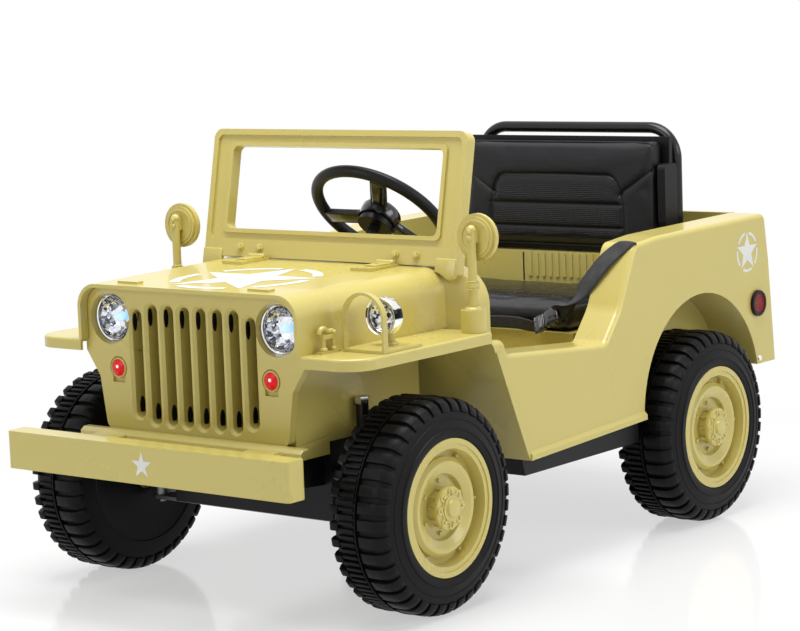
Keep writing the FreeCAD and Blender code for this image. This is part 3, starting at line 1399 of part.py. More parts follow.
def make_spot_lamp():
    low = "fender_top_z + seat_gap"
    bowl = turned_about_x("spot_bowl", "spot_x", "spot_y", "spot_z", [
        ("spot_length / 2", "spot_radius"),
        ("spot_length / 2", "spot_radius - spot_rim"),
        ("spot_length / 4", "spot_radius - spot_rim"),
        ("-spot_length / 4", "spot_radius / 3"),
        ("-spot_length / 4", "0"),
        ("-spot_length / 2", "0"),
        ("-spot_length / 2", "spot_radius / 2", "spot_rim"),
        ("0", "spot_radius * 9 / 10"),
        ("spot_length / 6", "spot_radius")])
    stem = cylinder("spot_stem", "spot_stem_radius", "spot_z - (%s) - spot_plate - seat_gap - spot_radius * 2 / 3" % low,
                    "spot_x - spot_length / 6", "spot_y", "%s + spot_plate + seat_gap" % low)
    fuse("spot_lamp", [bowl, stem])
    lens = turned_about_x("spot_glass", "spot_x + spot_length / 4 + seat_gap", "spot_y", "spot_z", [
        ("0", "0"),
        ("0", "spot_radius - spot_rim - seat_gap"),
        ("spot_length / 4", "spot_radius - spot_rim - seat_gap"),
        ("spot_length / 4 + spot_rim / 2", "0")])
    only("spot_lens", lens)
    guard = new_body("spot_guard")
    pad(guard, "XY", low, low + " + spot_plate",
        box_loop("spot_x - guard_tail", "spot_y - guard_half_width", "guard_x + guard_radius",
                 "spot_y + guard_half_width"))
    strap = "(guard_half_width - guard_strap)"
    base = low + " + spot_plate / 2"
    pad(guard, "YZ", "guard_x - guard_radius", "guard_x + guard_radius", [
        ("spot_y - guard_half_width", base),
        ("spot_y + guard_half_width", base),
        ("spot_y + guard_half_width", "guard_top_z", "guard_half_width - seat_gap"),
        ("spot_y - guard_half_width", "guard_top_z", "guard_half_width - seat_gap")])
    pocket(guard, "YZ", "guard_x - guard_radius", "guard_x + guard_radius", [
        ("spot_y - " + strap, low + " + spot_plate"),
        ("spot_y + " + strap, low + " + spot_plate"),
        ("spot_y + " + strap, "guard_top_z - guard_strap", strap + " - seat_gap"),
        ("spot_y - " + strap, "guard_top_z - guard_strap", strap + " - seat_gap")])


def make_small_pieces():
    discs = []
    for name, side in SIDES:
        low, high = mirrored(side, "side_outer_y + seat_gap", "side_outer_y + seat_gap + reflector_thickness")
        discs.append(cylinder("reflector_" + name, "reflector_radius", "reflector_thickness", "reflector_x", low,
                              "reflector_z", ALONG_Y))
    together("reflectors", discs)
    pedal = new_body("pedal")
    pad(pedal, "XZ", "pedal_y - pedal_width / 2", "pedal_y + pedal_width / 2", [
        ("pedal_x - pedal_length", floor_z("pedal_x - pedal_length")),
        ("pedal_x", floor_z("pedal_x")),
        ("pedal_x", "side_front_z + panel + pedal_height"),
        ("pedal_x - pedal_length", floor_z("pedal_x - pedal_length") + " + pedal_toe")])


make_chassis()
make_axles()
make_struts()
make_drive_units()
make_wheels()
make_steering()
make_steering_wheel()
make_body_sides()
make_tailgate()
make_floor()
make_seat()
make_roll_bar()
make_fenders()
make_engine_bay()
make_hood()
make_grille()
make_lamps()
make_cowl()
make_windscreen()
make_bumper()
make_mirrors()
make_spot_lamp()
make_small_pieces()
doc.recompute()

faults = [item.Name for item in doc.Objects if "Invalid" in item.State or "Error" in item.State]
for part in parts:
    if part.Shape.isNull() or not part.Shape.isValid():
        faults.append(part.Label + " has no sound shape")
if faults:
    raise RuntimeError("These objects failed: " + ", ".join(faults))

os.makedirs("parts", exist_ok=True)
for part in parts:
    part.Shape.exportStep("parts/%s.step" % part.Label)
    box = part.Shape.BoundBox
    print("%-18s solids %d volume %8.0f cm3  x %6.1f %6.1f  y %6.1f %6.1f  z %6.1f %6.1f" % (
        part.Label, len(part.Shape.Solids), part.Shape.Volume / 1000, box.XMin, box.XMax, box.YMin, box.YMax,
        box.ZMin, box.ZMax))
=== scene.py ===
# %% [markdown]
# A child's ride-on field car is dressed here round its fixed frame of solids.
# The frame comes first, so that every piece below can be placed by it.

# %% The frame
import json
import math

import bmesh
import bpy
from mathutils import Matrix, Vector
from mathutils.bvhtree import BVHTree


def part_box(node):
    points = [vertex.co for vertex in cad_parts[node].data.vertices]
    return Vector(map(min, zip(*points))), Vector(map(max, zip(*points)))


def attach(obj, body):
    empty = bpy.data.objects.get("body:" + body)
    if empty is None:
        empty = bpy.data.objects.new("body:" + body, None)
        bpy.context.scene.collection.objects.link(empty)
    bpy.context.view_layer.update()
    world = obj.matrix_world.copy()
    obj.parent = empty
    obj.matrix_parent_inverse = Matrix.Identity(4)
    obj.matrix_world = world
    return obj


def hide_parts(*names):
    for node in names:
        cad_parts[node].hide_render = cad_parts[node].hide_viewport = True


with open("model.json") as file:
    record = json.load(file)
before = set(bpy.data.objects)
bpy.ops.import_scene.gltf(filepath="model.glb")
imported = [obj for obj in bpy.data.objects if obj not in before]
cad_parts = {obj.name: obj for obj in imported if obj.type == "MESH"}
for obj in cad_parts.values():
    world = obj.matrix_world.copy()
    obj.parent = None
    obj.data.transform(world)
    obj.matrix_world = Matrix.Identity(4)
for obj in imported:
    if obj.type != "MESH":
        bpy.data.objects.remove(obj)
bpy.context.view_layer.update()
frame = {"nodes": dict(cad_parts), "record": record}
nodes = frame["nodes"]
SIDES = (("left", 1), ("right", -1))
print("nodes", len(nodes))

# %% [markdown]
# The camera stands where the photographer stood. A yaw, a pitch and a roll turn it,
# and the lens follows from how wide the picture is in focal lengths.

# %% The camera
CAMERA_PLACE = (3.31257, 2.61885, 0.94242)
YAW, PITCH, ROLL = 3.813278, -0.130238, -0.036445
FOCAL_PIXELS, PICTURE_PIXELS, SENSOR_MM = 2527.58, 800, 36


def turned(x_way, y_way, z_way):
    """A matrix that takes X, Y and Z to three directions."""
    return Matrix((x_way, y_way, z_way)).transposed().to_4x4()


ahead = Vector((math.cos(PITCH) * math.cos(YAW), math.cos(PITCH) * math.sin(YAW), math.sin(PITCH)))
right = ahead.cross(Vector((0, 0, 1))).normalized()
up = right.cross(ahead)
camera_right = math.cos(ROLL) * right + math.sin(ROLL) * up
camera_up = math.cos(ROLL) * up - math.sin(ROLL) * right
camera = bpy.data.objects.new("camera", bpy.data.cameras.new("camera"))
camera.matrix_world = Matrix.Translation(CAMERA_PLACE) @ turned(camera_right, camera_up, -ahead)
camera.data.sensor_width = SENSOR_MM
camera.data.lens = FOCAL_PIXELS / PICTURE_PIXELS * SENSOR_MM
bpy.context.scene.collection.objects.link(camera)
bpy.context.scene.camera = camera
bpy.context.scene.view_settings.view_transform = "Standard"
print("lens", round(camera.data.lens, 1))

# %% [markdown]
# A finish is a tree of nodes. Each node has a kind, a few settings, numbers on its sockets and links
# from other nodes, so two helpers say all that in one call each, and the trees below stay short.

# %% Helpers for nodes


def feed(tree, node, values=(), links=()):
    """Sets numbers on a node's sockets and links other sockets to what feeds them."""
    for socket, value in dict(values).items():
        node.inputs[socket].default_value = value
    for socket, source in dict(links).items():
        tree.links.new(source, node.inputs[socket])
    return node


def add_node(tree, kind, settings=(), values=(), links=()):
    """Adds a node of a kind with its settings, and feeds it."""
    node = tree.nodes.new(kind)
    for name, setting in dict(settings).items():
        setattr(node, name, setting)
    return feed(tree, node, values, links)


def object_place(tree):
    """The place of a point in its object's own space."""
    return add_node(tree, "ShaderNodeTexCoord").outputs["Object"]


def shade(finish, values=(), links=()):
    """Feeds the shader of a finish."""
    feed(finish.node_tree, finish.node_tree.nodes["Principled BSDF"], values, links)


# %% [markdown]
# The picture has a white ground that fades away behind the car. One plain plane is the floor.
# Seen directly or mirrored it is partly a glow of strength 1, which is white, and partly a shiny
# surface that takes the shadow. Further from the car the glow takes over, so no horizon shows.

# %% The floor
floor_mesh = bmesh.new()
bmesh.ops.create_grid(floor_mesh, x_segments=1, y_segments=1, size=30)
floor_data = bpy.data.meshes.new("floor")
floor_mesh.to_mesh(floor_data)
floor_mesh.free()
floor = bpy.data.objects.new("floor", floor_data)
bpy.context.scene.collection.objects.link(floor)


def any_seen_ray(tree):
    """1 for what the camera sees straight, in a mirror or through glass, and 0 for the light itself."""
    path = add_node(tree, "ShaderNodeLightPath")
    total = path.outputs["Is Camera Ray"]
    for ray in ("Is Glossy Ray", "Is Transmission Ray"):
        either = add_node(tree, "ShaderNodeMath", {"operation": "MAXIMUM"}, links={0: total, 1: path.outputs[ray]})
        total = either.outputs[0]
    return total


FADE_START, FADE_END, NEAR_GLOW = 0.75, 1.7, 0.5
floor_finish = bpy.data.materials.new("studio_floor")
floor_finish.use_nodes = True
tree = floor_finish.node_tree
shade(floor_finish, {"Base Color": (0.9, 0.9, 0.91, 1), "Roughness": 0.12})
distance = add_node(tree, "ShaderNodeVectorMath", {"operation": "LENGTH"}, links={0: object_place(tree)})
fade = add_node(tree, "ShaderNodeMapRange", {"interpolation_type": "SMOOTHSTEP"},
                {"From Min": FADE_START, "From Max": FADE_END, "To Min": NEAR_GLOW},
                {"Value": distance.outputs["Value"]})
share = add_node(tree, "ShaderNodeMath", {"operation": "MULTIPLY"},
                 links={0: fade.outputs["Result"], 1: any_seen_ray(tree)})
glow = add_node(tree, "ShaderNodeEmission")
blend = add_node(tree, "ShaderNodeMixShader", links={
    0: share.outputs[0], 1: tree.nodes["Principled BSDF"].outputs[0], 2: glow.outputs[0]})
feed(tree, tree.nodes["Material Output"], links={"Surface": blend.outputs[0]})
floor_data.materials.append(floor_finish)

# %% [markdown]
# The world lights the car softly from all round, and to the eye it is plain white.

# %% The world and the lamps
SOFT_LIGHT = 0.33
world = bpy.data.worlds.new("studio")
world.use_nodes = True
bpy.context.scene.world = world
tree = world.node_tree
soft = feed(tree, tree.nodes["Background"], {"Color": (1, 1, 1, 1), "Strength": SOFT_LIGHT})
white = add_node(tree, "ShaderNodeBackground", values={"Color": (1, 1, 1, 1)})
choose = add_node(tree, "ShaderNodeMixShader", links={0: any_seen_ray(tree), 1: soft.outputs[0], 2: white.outputs[0]})
feed(tree, tree.nodes["World Output"], links={0: choose.outputs[0]})


def area_lamp(name, place, aim, width, depth, power):
    """A soft box at a place, turned to face a point."""
    lamp = bpy.data.lights.new(name, "AREA")
    lamp.shape = "RECTANGLE"
    lamp.size = width
    lamp.size_y = depth
    lamp.energy = power
    item = bpy.data.objects.new(name, lamp)
    turn = (Vector(aim) - Vector(place)).to_track_quat("-Z", "Y")
    item.matrix_world = Matrix.Translation(place) @ turn.to_matrix().to_4x4()
    bpy.context.scene.collection.objects.link(item)


area_lamp("top_soft_box", (0.3, 0.2, 2.9), (0, 0, 0.3), 2.2, 1.8, 92)
area_lamp("side_soft_box", (-0.6, 3.2, 1.7), (-0.1, 0, 0.4), 2.2, 1.2, 30)
area_lamp("front_soft_box", (3.3, -0.9, 1.5), (0, 0, 0.4), 1.6, 1.2, 15)

# %% [markdown]
# No real surface is one flat colour. Moulded plastic drifts a little in shade and gloss over a large
# panel, and has a fine grain that breaks up its highlights. One shared group makes the broad drift
# and the fine grain from two noises, and each finish below sets how strongly it takes them.

# %% The shared drift and grain
mottle = bpy.data.node_groups.new("mottle", "ShaderNodeTree")
for socket, start in (("Broad Size", 6.0), ("Grain Size", 900.0)):
    mottle.interface.new_socket(name=socket, in_out="INPUT", socket_type="NodeSocketFloat").default_value = start
for socket in ("Drift", "Grain"):
    mottle.interface.new_socket(name=socket, in_out="OUTPUT", socket_type="NodeSocketFloat")
group_in = mottle.nodes.new("NodeGroupInput")
group_out = mottle.nodes.new("NodeGroupOutput")
place = object_place(mottle)
for size, result, detail in (("Broad Size", "Drift", 4), ("Grain Size", "Grain", 2)):
    noise = add_node(mottle, "ShaderNodeTexNoise", values={"Detail": detail},
                     links={"Vector": place, "Scale": group_in.outputs[size]})
    feed(mottle, group_out, links={result: noise.outputs["Fac"]})


def spread(tree, value, low, high):
    """Stretches the middle of a 0-to-1 value over a range."""
    values = {"From Min": 0.3, "From Max": 0.7, "To Min": low, "To Max": high}
    return add_node(tree, "ShaderNodeMapRange", values=values, links={"Value": value}).outputs["Result"]


def bump_from(tree, height, strength, depth, before=None):
    """A bump from a height, laid over an earlier bump if there is one."""
    node = add_node(tree, "ShaderNodeBump", values={"Strength": strength, "Distance": depth}, links={"Height": height})
    if before is not None:
        feed(tree, node, links={"Normal": before})
    return node.outputs["Normal"]


def two_tone(finish, share, dark, bright):
    """Mixes the colour of a finish between a dark and a bright end."""
    mix = add_node(finish.node_tree, "ShaderNodeMix", {"data_type": "RGBA"}, {"A": (*dark, 1), "B": (*bright, 1)},
                   {"Factor": share})
    shade(finish, links={"Base Color": mix.outputs["Result"]})


def new_finish(name, colour, roughness, drift=0.05, broad=6.0, grain=0.15, grain_size=900.0, metallic=0.0, coat=0.0,
               shine=0.5):
    """A material whose colour and gloss drift softly, over a fine grain."""
    finish = bpy.data.materials.new(name)
    finish.use_nodes = True
    tree = finish.node_tree
    noises = add_node(tree, "ShaderNodeGroup", {"node_tree": mottle}, {"Broad Size": broad, "Grain Size": grain_size})
    two_tone(finish, noises.outputs["Drift"], [part * (1 - drift) for part in colour],
             [min(1, part * (1 + drift)) for part in colour])
    shade(finish, {"Metallic": metallic, "Coat Weight": coat, "Specular IOR Level": shine}, {
        "Roughness": spread(tree, noises.outputs["Drift"], roughness * 0.85, roughness * 1.15),
        "Normal": bump_from(tree, noises.outputs["Grain"], grain, 0.0004)})
    return finish


sand = new_finish("sand_plastic", (0.575, 0.485, 0.135), 0.3, drift=0.03, grain=0.06, grain_size=1400, coat=0.3)
black = new_finish("black_plastic", (0.006, 0.006, 0.007), 0.36, drift=0.2, shine=0.2)
rubber = new_finish("tyre_rubber", (0.004, 0.004, 0.0045), 0.42, drift=0.25, broad=9, grain=0.3, grain_size=500,
                    shine=0.13)
painted = new_finish("black_paint", (0.007, 0.007, 0.008), 0.22, drift=0.1, grain=0.12, grain_size=700, shine=0.35)
steel = new_finish("dull_steel", (0.20, 0.20, 0.20), 0.45, drift=0.15, metallic=1)
zinc = new_finish("zinc_steel", (0.62, 0.6, 0.54), 0.28, drift=0.1, metallic=1)
chrome = new_finish("chrome", (0.9, 0.9, 0.92), 0.05, drift=0.02, grain=0.02, metallic=1)
gloss_black = new_finish("gloss_black", (0.006, 0.006, 0.007), 0.14, drift=0.05, coat=0.5)
print_white = new_finish("print_white", (0.74, 0.74, 0.71), 0.45, drift=0.04, broad=40, grain=0.3, grain_size=300)

# %% [markdown]
# A lamp lens is clear plastic. It keeps plain transmission, so that the export can read it, and only
# its gloss carries the mottle. A red reflector is a grid of small prisms. The lit lamps have a finish
# that gives off a little light of its own, because a real lamp for each would be slow and noisy.

# %% Lens finishes
lens = new_finish("clear_lens", (0.97, 0.98, 1.0), 0.04, drift=0.01, grain=0.02)
shade(lens, {"Transmission Weight": 1, "IOR": 1.3})
red = new_finish("red_lens", (0.22, 0.004, 0.006), 0.2, drift=0.15, broad=60, grain=0.2, grain_size=250, shine=0.3)
prisms = add_node(red.node_tree, "ShaderNodeTexVoronoi", values={"Scale": 330, "Randomness": 0},
                  links={"Vector": object_place(red.node_tree)})
shade(red, links={"Normal": bump_from(red.node_tree, prisms.outputs["Distance"], 0.8, 0.002)})


def glowing(name, colour, light, strength, shine=0.5):
    """A finish that gives off light of a colour."""
    finish = new_finish(name, colour, 0.2, shine=shine)
    shade(finish, {"Emission Color": (*light, 1), "Emission Strength": strength})
    return finish


red_glow = glowing("red_glow", (0.55, 0.002, 0.006), (1, 0.008, 0.016), 0.22, shine=0.25)
# A painted highlight: this glowing finish makes the glint on each red marker.
painted_highlight_glow = glowing("painted_highlight_glow", (1, 0.75, 0.75), (1, 0.7, 0.7), 0.6)
lit = glowing("lamp_light", (0.7, 0.85, 1.0), (0.22, 0.5, 1), 0.9)

# %% [markdown]
# The inside of a lamp is moulded into hundreds of small mirrors, some of which catch the light while
# their neighbours are dark. Random cells with a dark and a bright end paint that reflection into the
# colour. The spot lamp's bowl has a painted reflection of a dark edge of the room, a band at one height.

# %% Reflector finishes
painted_reflection_facets = new_finish("lamp_facets_painted_reflection", (0.9, 0.9, 0.92), 0.14, drift=0.02, metallic=0.9)
tree = painted_reflection_facets.node_tree
cells = add_node(tree, "ShaderNodeTexVoronoi", values={"Scale": 270}, links={"Vector": object_place(tree)})
# Painted reflection: the random cells paint dark and bright facets into the colour.
two_tone(painted_reflection_facets, spread(tree, cells.outputs["Color"], 0, 1), (0.03, 0.035, 0.05), (0.93, 0.95, 1))

SPOT = (0.412, 0.290, 0.456)
PAINTED_BAND_ABOVE_MIDDLE, PAINTED_BAND_INNER, PAINTED_BAND_OUTER = 0.0050, 0.0065, 0.0085
# Painted reflection: the chrome's colour turns dark in a band just above the lamp's middle, for a dark edge of the
# room.
chrome_painted_band = new_finish("chrome_painted_reflection", (0.9, 0.9, 0.92), 0.06, drift=0.02, metallic=1)
tree = chrome_painted_band.node_tree
height = add_node(tree, "ShaderNodeSeparateXYZ", links={0: object_place(tree)})
above = add_node(tree, "ShaderNodeMath", {"operation": "SUBTRACT"}, {1: SPOT[2] + PAINTED_BAND_ABOVE_MIDDLE},
                 {0: height.outputs["Z"]})
away = add_node(tree, "ShaderNodeMath", {"operation": "ABSOLUTE"}, links={0: above.outputs[0]})
painted_band_mask = add_node(tree, "ShaderNodeMapRange", values={"From Min": PAINTED_BAND_INNER, "From Max": PAINTED_BAND_OUTER},
                links={"Value": away.outputs[0]})
two_tone(chrome_painted_band, painted_band_mask.outputs["Result"], (0.012, 0.012, 0.015), (0.9, 0.9, 0.92))

# %% [markdown]
# Synthetic leather has a pebbled grain: small rounded cells with creases between them. Voronoi cells
# give that, and their distance to the nearest edge is the height. The middle of the backrest is
# perforated, so the same leather there has a regular grid of small dark holes.

# %% Leather finishes


def leather_finish(name, holes, roughness=0.36, shine=0.28):
    """Black leather with pebbled grain, and a grid of pinholes where it is perforated."""
    finish = new_finish(name, (0.007, 0.007, 0.009), roughness, drift=0.3, broad=14, shine=shine)
    tree = finish.node_tree
    place = object_place(tree)
    cells = add_node(tree, "ShaderNodeTexVoronoi", {"feature": "DISTANCE_TO_EDGE"}, {"Scale": 620}, {"Vector": place})
    normal = bump_from(tree, cells.outputs["Distance"], 0.35, 0.0008)
    creases = add_node(tree, "ShaderNodeTexNoise", values={"Scale": 28, "Detail": 5}, links={"Vector": place})
    normal = bump_from(tree, creases.outputs["Fac"], 0.25, 0.004, normal)
    if holes:
        grid = add_node(tree, "ShaderNodeTexVoronoi", values={"Scale": 290, "Randomness": 0}, links={"Vector": place})
        hole = add_node(tree, "ShaderNodeMapRange", values={"From Min": 0.22, "From Max": 0.42},
                        links={"Value": grid.outputs["Distance"]})
        normal = bump_from(tree, hole.outputs["Result"], 0.9, 0.0015, normal)
    shade(finish, links={"Normal": normal})
    return finish


leather = leather_finish("black_leather", holes=False)
perforated = leather_finish("perforated_leather", holes=True)
worn_leather = leather_finish("worn_leather", holes=False, roughness=0.27, shine=0.5)

# %% [markdown]
# Belt webbing is woven, so fine ribs run across it. A wave texture along the belt's own length
# makes them. The belt's mesh carries a UV map for this, because the belt twists.

# %% Webbing
webbing = new_finish("belt_webbing", (0.013, 0.013, 0.015), 0.6, drift=0.2, broad=80)
tree = webbing.node_tree
ribs = add_node(tree, "ShaderNodeTexWave", values={"Scale": 60, "Distortion": 0.6},
                links={"Vector": add_node(tree, "ShaderNodeTexCoord").outputs["UV"]})
shade(webbing, links={"Normal": bump_from(tree, ribs.outputs["Fac"], 0.6, 0.0006)})

# %% [markdown]
# Each solid of the frame takes the finish that the record names for it.

# %% Every solid's finish
finishes = {"sand_plastic": sand, "black_plastic": black, "tyre_rubber": rubber, "black_leather": leather,
            "steel": steel, "black_metal": painted, "chrome_plastic": chrome, "clear_lens": lens, "red_lens": red}
for subpart in frame["record"]["subparts"]:
    item = nodes[subpart["node"]]
    item.data.materials.clear()
    item.data.materials.append(finishes[subpart["material_slot"]])
print("finishes", len(finishes))

# %% [markdown]
# Every new piece ends the same way: its mesh becomes an object at the origin, its corners stay crisp
# while its curves are smooth, and it rides on a body of the frame. One helper does all of that. The
# others draw the few basic forms that small plastic and metal parts are put together from.

# %% Helpers for pieces
SEAM = 1e-6
ON_ITS_SIDE = Matrix.Rotation(math.pi / 2, 4, "X")


def piece(name, mesh, finish, body="root", replaces=(), sharp=35, clean=True):
    """Turns a bmesh into a piece that rides on a body."""
    if clean:
        bmesh.ops.remove_doubles(mesh, verts=mesh.verts, dist=SEAM)
        bmesh.ops.recalc_face_normals(mesh, faces=mesh.faces)
    data = bpy.data.meshes.new(name)
    mesh.to_mesh(data)
    mesh.free()
    data.shade_smooth()
    data.set_sharp_from_angle(angle=math.radians(sharp))
    data.materials.append(finish)
    item = bpy.data.objects.new(name, data)
    bpy.context.scene.collection.objects.link(item)
    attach(item, body)
    if replaces:
        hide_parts(*replaces)
    return item


def spin_outline(mesh, outline, steps=96):
    """Turns an outline of (radius, along) points about +Y."""
    points = [mesh.verts.new((radius, along, 0)) for radius, along in outline]
    edges = [mesh.edges.new(pair) for pair in zip(points, points[1:])]
    bmesh.ops.spin(mesh, geom=points + edges, cent=(0, 0, 0), axis=(0, 1, 0), angle=math.tau, steps=steps,
                   use_merge=True)


def soften(mesh, edges, bevel, segments):
    """Rounds edges."""
    bmesh.ops.bevel(mesh, geom=edges, offset=bevel, segments=segments, profile=0.5, affect="EDGES", material=-1,
                    clamp_overlap=True)


def prism(mesh, outline, depth, bevel=0.0, segments=2):
    """A flat outline in X and Y, given a depth along +Z and soft edges. Returns its points."""
    before = set(mesh.verts)
    face = mesh.faces.new([mesh.verts.new((x, y, 0)) for x, y in outline])
    raised = bmesh.ops.extrude_face_region(mesh, geom=[face])["geom"]
    raised_points = [item for item in raised if isinstance(item, bmesh.types.BMVert)]
    bmesh.ops.translate(mesh, vec=(0, 0, depth), verts=raised_points)
    new_points = [point for point in mesh.verts if point not in before]
    bmesh.ops.recalc_face_normals(mesh, faces=list({face for point in new_points for face in point.link_faces}))
    if bevel:
        soften(mesh, list({edge for point in new_points for edge in point.link_edges}), bevel, segments)
    return [point for point in mesh.verts if point not in before]


def rectangle(left, bottom, right, top):
    """The outline of a rectangle."""
    return [(left, bottom), (right, bottom), (right, top), (left, top)]


def rod(mesh, radius, low, high, sides=24, bevel=0.0, top=None):
    """A round bar along +Z between two heights, its end edges softened. Returns its points."""
    before = set(mesh.verts)
    made = bmesh.ops.create_cone(mesh, cap_ends=True, segments=sides, radius1=radius,
                                 radius2=radius if top is None else top, depth=high - low)
    bmesh.ops.translate(mesh, verts=made["verts"], vec=(0, 0, (low + high) / 2))
    if bevel:
        rims = [edge for edge in {e for point in made["verts"] for e in point.link_edges}
                if abs(edge.verts[0].co.z - edge.verts[1].co.z) < SEAM / 10]
        soften(mesh, rims, bevel, 2)
    return [point for point in mesh.verts if point not in before]


def ball(mesh, radius, place=(0, 0, 0), flat=1.0, steps=20, rings=12):
    """A ball at a place, flattened along Z if asked."""
    points = bmesh.ops.create_uvsphere(mesh, u_segments=steps, v_segments=rings, radius=radius)["verts"]
    bmesh.ops.scale(mesh, verts=points, vec=(1, 1, flat))
    bmesh.ops.translate(mesh, verts=points, vec=place)


def copies_round(mesh, points, count, start=0.0):
    """Copies points and their faces round +Y through the origin until there are as many as asked."""
    axis = Vector((0, 1, 0))
    bmesh.ops.rotate(mesh, verts=points, cent=(0, 0, 0), matrix=Matrix.Rotation(start, 3, axis))
    geometry = set(points)
    geometry.update(edge for point in points for edge in point.link_edges)
    geometry.update(face for point in points for face in point.link_faces)
    bmesh.ops.spin(mesh, geom=list(geometry), cent=(0, 0, 0), axis=axis, angle=math.tau / count * (count - 1),
                   steps=count - 1, use_duplicate=True)


def move(mesh, points, matrix):
    """Puts points where a matrix says."""
    bmesh.ops.transform(mesh, matrix=matrix, verts=list(points))


def facing(place, direction, spin=0.0):
    """A matrix that takes +Z to a direction and the origin to a place."""
    turn = Vector(direction).normalized().to_track_quat("Z", "Y")
    return Matrix.Translation(place) @ turn.to_matrix().to_4x4() @ Matrix.Rotation(spin, 4, "Z")


def flat_piece(name, outline, depth, bevel, onto, finish, segments=1):
    """A piece made of one outline with a depth, put where a matrix says."""
    mesh = bmesh.new()
    move(mesh, prism(mesh, outline, depth, bevel, segments), onto)
    piece(name, mesh, finish)


# %% [markdown]
# The cushion and the backrest are foam in a leather cover, so they swell between their seams. Each
# one starts from its own solid, made a little smaller and remeshed into even quads. Cloth with air
# pressure and no gravity swells it, and no point may move further than a cap. Then it's pressed flat
# where it rests, and its seams are drawn in. The seams come last, because a remesh would lose them.

# %% Stuffed pads


def evaluated_mesh(item):
    """The mesh that an object's modifiers make."""
    bpy.context.view_layer.update()
    return bpy.data.meshes.new_from_object(item.evaluated_get(bpy.context.evaluated_depsgraph_get()))


def through_modifier(item, kind, **settings):
    """Gives an object one modifier, keeps what it makes and removes it again."""
    modifier = item.modifiers.new(kind.lower(), kind)
    for setting, value in settings.items():
        setattr(modifier, setting, value)
    item.data = evaluated_mesh(item)
    item.modifiers.clear()


PRESSURE, SWELL_FRAMES = 4.0, 20


def stuffed(name, node, shrink, cap, low, high, voxel=0.0068):
    """A pad that swells from a solid, kept inside the box it rests in."""
    mesh = bmesh.new()
    mesh.from_mesh(nodes[node].data)
    bmesh.ops.remove_doubles(mesh, verts=mesh.verts, dist=SEAM)
    middle = sum((Vector(corner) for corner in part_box(node)), Vector()) / 2
    bmesh.ops.scale(mesh, verts=mesh.verts, vec=shrink, space=Matrix.Translation(-middle))
    data = bpy.data.meshes.new(name)
    mesh.to_mesh(data)
    mesh.free()
    item = bpy.data.objects.new(name, data)
    bpy.context.scene.collection.objects.link(item)
    through_modifier(item, "REMESH", mode="VOXEL", voxel_size=voxel)
    start = [point.co.copy() for point in item.data.vertices]
    cloth = item.modifiers.new("swell", "CLOTH")
    cloth.settings.quality = 3
    cloth.settings.use_pressure = True
    cloth.settings.uniform_pressure_force = PRESSURE
    cloth.settings.effector_weights.gravity = 0
    for step in range(1, SWELL_FRAMES + 1):
        bpy.context.scene.frame_set(step)
    swollen = evaluated_mesh(item)
    item.modifiers.clear()
    item.data = swollen
    bpy.context.scene.frame_set(1)
    for point, before in zip(swollen.vertices, start):
        moved = point.co - before
        if moved.length > cap:
            point.co = before + moved.normalized() * cap
    for point in item.data.vertices:
        point.co = Vector(min(max(value, least), most) for value, least, most in zip(point.co, low, high))
    through_modifier(item, "SUBSURF", levels=2, render_levels=2)
    return item


def off_line(u, v, line):
    """How far a flat point lies from a line through several points."""
    nearest = math.inf
    for (start_u, start_v), (end_u, end_v) in zip(line, line[1:]):
        along_u, along_v = end_u - start_u, end_v - start_v
        share = ((u - start_u) * along_u + (v - start_v) * along_v) / (along_u ** 2 + along_v ** 2)
        share = min(1.0, max(0.0, share))
        nearest = min(nearest, math.hypot(u - start_u - along_u * share, v - start_v - along_v * share))
    return nearest


def sew(item, lines, axes, facing_axis, depth=0.0032, width=0.0042):
    """Draws a pad in along its seams, seen along one axis."""
    normals = [point.normal.copy() for point in item.data.vertices]
    for point, normal in zip(item.data.vertices, normals):
        if normal[facing_axis] < 0.25:
            continue
        away = min(off_line(point.co[axes[0]], point.co[axes[1]], line) for line in lines) / width
        pull = 0.6 * math.exp(-away ** 2) + 0.4 * math.exp(-(away / 3) ** 2)
        point.co -= normal * depth * pull


def dress(item, finish, replaced):
    item.data.shade_smooth()
    item.data.materials.clear()
    item.data.materials.append(finish)
    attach(item, "root")
    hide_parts(replaced)
    print(item.name, len(item.data.polygons), "faces")


# %% [markdown]
# The cushion rests on the seat box and against the bulkhead, so it's held flat there. Its cover is
# closed by a seam near each end, and the leather is creased along the front, where riders slide off.

# %% The cushion
SEAM_Y = 0.203
cushion = stuffed("cushion_pad", "seat_cushion", (0.985, 0.975, 0.86), 0.009, (-0.4355, -0.2285, 0.3503),
                  (-0.1545, 0.2285, 0.4040), voxel=0.0090)
top_seams = [[(-0.4360, SEAM_Y * side), (-0.1500, SEAM_Y * side)] for side in (1, -1)]
front_seams = [[(SEAM_Y * side, 0.345), (SEAM_Y * side, 0.40)] for side in (1, -1)]
sew(cushion, top_seams, (0, 1), 2, depth=0.0024, width=0.0034)
sew(cushion, front_seams, (1, 2), 0, depth=0.0024, width=0.0034)
creases = [[(-0.196, -0.19), (-0.200, -0.03), (-0.197, 0.08)], [(-0.222, -0.14), (-0.226, 0.02), (-0.224, 0.16)],
           [(-0.184, 0.11), (-0.196, 0.165), (-0.192, 0.196)], [(-0.235, 0.13), (-0.214, 0.17), (-0.216, 0.195)]]
sew(cushion, creases, (0, 1), 2, depth=0.0013, width=0.0055)
dress(cushion, worn_leather, "seat_cushion")

# %% [markdown]
# The backrest has a sewn panel in its middle: perforated leather in three rolls, with rounded upper
# corners. Two seams run from it up to the sides. Faces inside the panel take the second finish.

